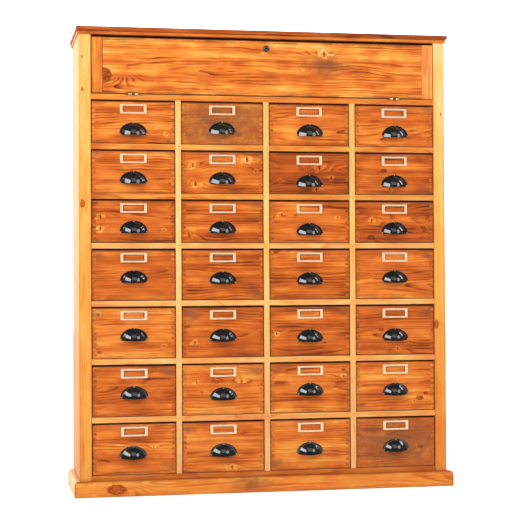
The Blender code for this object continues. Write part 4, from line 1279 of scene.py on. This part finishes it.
class CABINET_OT_studio(bpy.types.Operator):
    """The paper floor, soft lights and the camera"""

    bl_idname = "cabinet.studio"
    bl_label = "Studio"

    def execute(self, context):
        self.floor(context.scene)
        for name, place, aim, size, power in (
            ("window_left", (-3.7, -2.3, 3.0), (0, 0, 0.9), (2.6, 2.0), 175),
            ("window_right", (4.0, 0.1, 3.3), (0, 0, 0.9), (0.9, 2.2), 60),
            ("ceiling", (0.0, -3.6, 4.4), (0, 0, 1.0), (4.0, 3.0), 60),
            ("ceiling_right", (3.3, -2.9, 3.2), (0, 0, 0.8), (2.2, 2.2), 90),
        ):
            self.lamp(name, place, aim, size, power)
        # A room that is dark in front of the cabinet and white behind it
        world = bpy.data.worlds.new("white_room")
        world.use_nodes = True
        tree = world.node_tree
        ray = put(tree, "TexCoord", out="Generated")
        _, back, _ = put(tree, "SeparateXYZ", (ray,), out=None)
        depth = put(tree, "MapRange", (back, -1.0, 1.0, 0.0, 1.0))
        stops = ((0.0, 0.08), (1.0, 1.0), (0.5, 0.1), (0.85, 0.25), (0.95, 1.0))
        sky = tree.nodes["Background"].inputs
        tree.links.new(put(tree, "ValToRGB", (depth,), stops=stops), sky["Color"])
        sky["Strength"].default_value = 2.6
        context.scene.world = world
        context.scene.view_settings.view_transform = "Standard"
        self.camera(context.scene)
        return {"FINISHED"}

    def floor(self, scene):
        """A round sheet of paper: rings of points whose radii grow by squares."""
        rings, steps = 10, 48
        radius = 14 * np.linspace(0.1, 1, rings)[:, None] ** 2
        angle = np.arange(steps)[None] * 2 * math.pi / steps
        points = np.stack([radius * np.cos(angle), radius * np.sin(angle), 0 * radius * angle], -1)
        faces = grid_faces(rings, steps, ring_columns=True)[:, ::-1].tolist()
        mesh = bpy.data.meshes.new("paper_floor")
        mesh.from_pydata(points.reshape(-1, 3), [], faces + [list(range(steps))])
        mesh.materials.append(material(PAPER))
        made = bpy.data.objects.new("paper_floor", mesh)
        scene.collection.objects.link(made)

    def lamp(self, name, place, aim, size, power):
        light = bpy.data.lights.new(name, "AREA")
        light.shape, light.energy = "RECTANGLE", power
        light.size, light.size_y = size
        made = bpy.data.objects.new(name, light)
        made.location = place
        made.rotation_euler = (Vector(aim) - Vector(place)).to_track_quat("-Z", "Y").to_euler()
        bpy.context.scene.collection.objects.link(made)

    def camera(self, scene):
        """Stood where the photograph's lines meet: yawed towards +X, and hardly tilted."""
        yaw, pitch, roll = (math.radians(a) for a in (11.003, 0.580, -0.276))
        ahead = Vector(
            (math.sin(yaw) * math.cos(pitch), math.cos(yaw) * math.cos(pitch), math.sin(pitch)))
        level = Vector((math.cos(yaw), -math.sin(yaw), 0))
        right = level * math.cos(roll) + level.cross(ahead) * math.sin(roll)
        up = right.cross(ahead)
        lens = bpy.data.cameras.new("photograph")
        lens.lens, lens.sensor_width = 99.98, 36
        made = bpy.data.objects.new("photograph", lens)
        turn = Matrix((right, up, -ahead)).transposed()
        place = (-0.9201, box_of("stile_right")[0][1] - 4.6521, 0.6978)
        made.matrix_world = Matrix.Translation(place) @ turn.to_4x4()
        scene.collection.objects.link(made)
        scene.camera = made


STEPS = (
    CABINET_OT_studio,
    CABINET_OT_carcass,
    CABINET_OT_top,
    CABINET_OT_plinth,
    CABINET_OT_back,
    CABINET_OT_flap,
    CABINET_OT_drawers,
    CABINET_OT_card_frames,
    CABINET_OT_cup_pulls,
    CABINET_OT_hardware,
)
SETTINGS = (
    ("cabinet_pine", PineSettings),
    ("cabinet_iron", IronSettings),
    ("cabinet_studio", StudioSettings),
)


class CABINET_PT_sidebar(bpy.types.Panel):
    """Lists every step's operator, and then every setting"""

    bl_idname = "CABINET_PT_sidebar"
    bl_label = "Workshop drawer cabinet"
    bl_space_type = "VIEW_3D"
    bl_region_type = "UI"
    bl_category = "Cabinet"

    def draw(self, context):
        for step in STEPS:
            self.layout.operator(step.bl_idname)
        for group, _ in SETTINGS:
            held = getattr(context.scene, group)
            for name in held.__annotations__:
                self.layout.prop(held, name)


def register():
    for name, group in SETTINGS:
        bpy.utils.register_class(group)
        setattr(bpy.types.Scene, name, PointerProperty(type=group))
    for step in (*STEPS, CABINET_PT_sidebar):
        bpy.utils.register_class(step)


def unregister():
    for step in reversed((*STEPS, CABINET_PT_sidebar)):
        bpy.utils.unregister_class(step)
    for name, group in reversed(SETTINGS):
        delattr(bpy.types.Scene, name)
        bpy.utils.unregister_class(group)


def main():
    register()
    for step in STEPS:
        group, name = step.bl_idname.split(".")
        getattr(getattr(bpy.ops, group), name)()


if __name__ == "__main__":
    main()
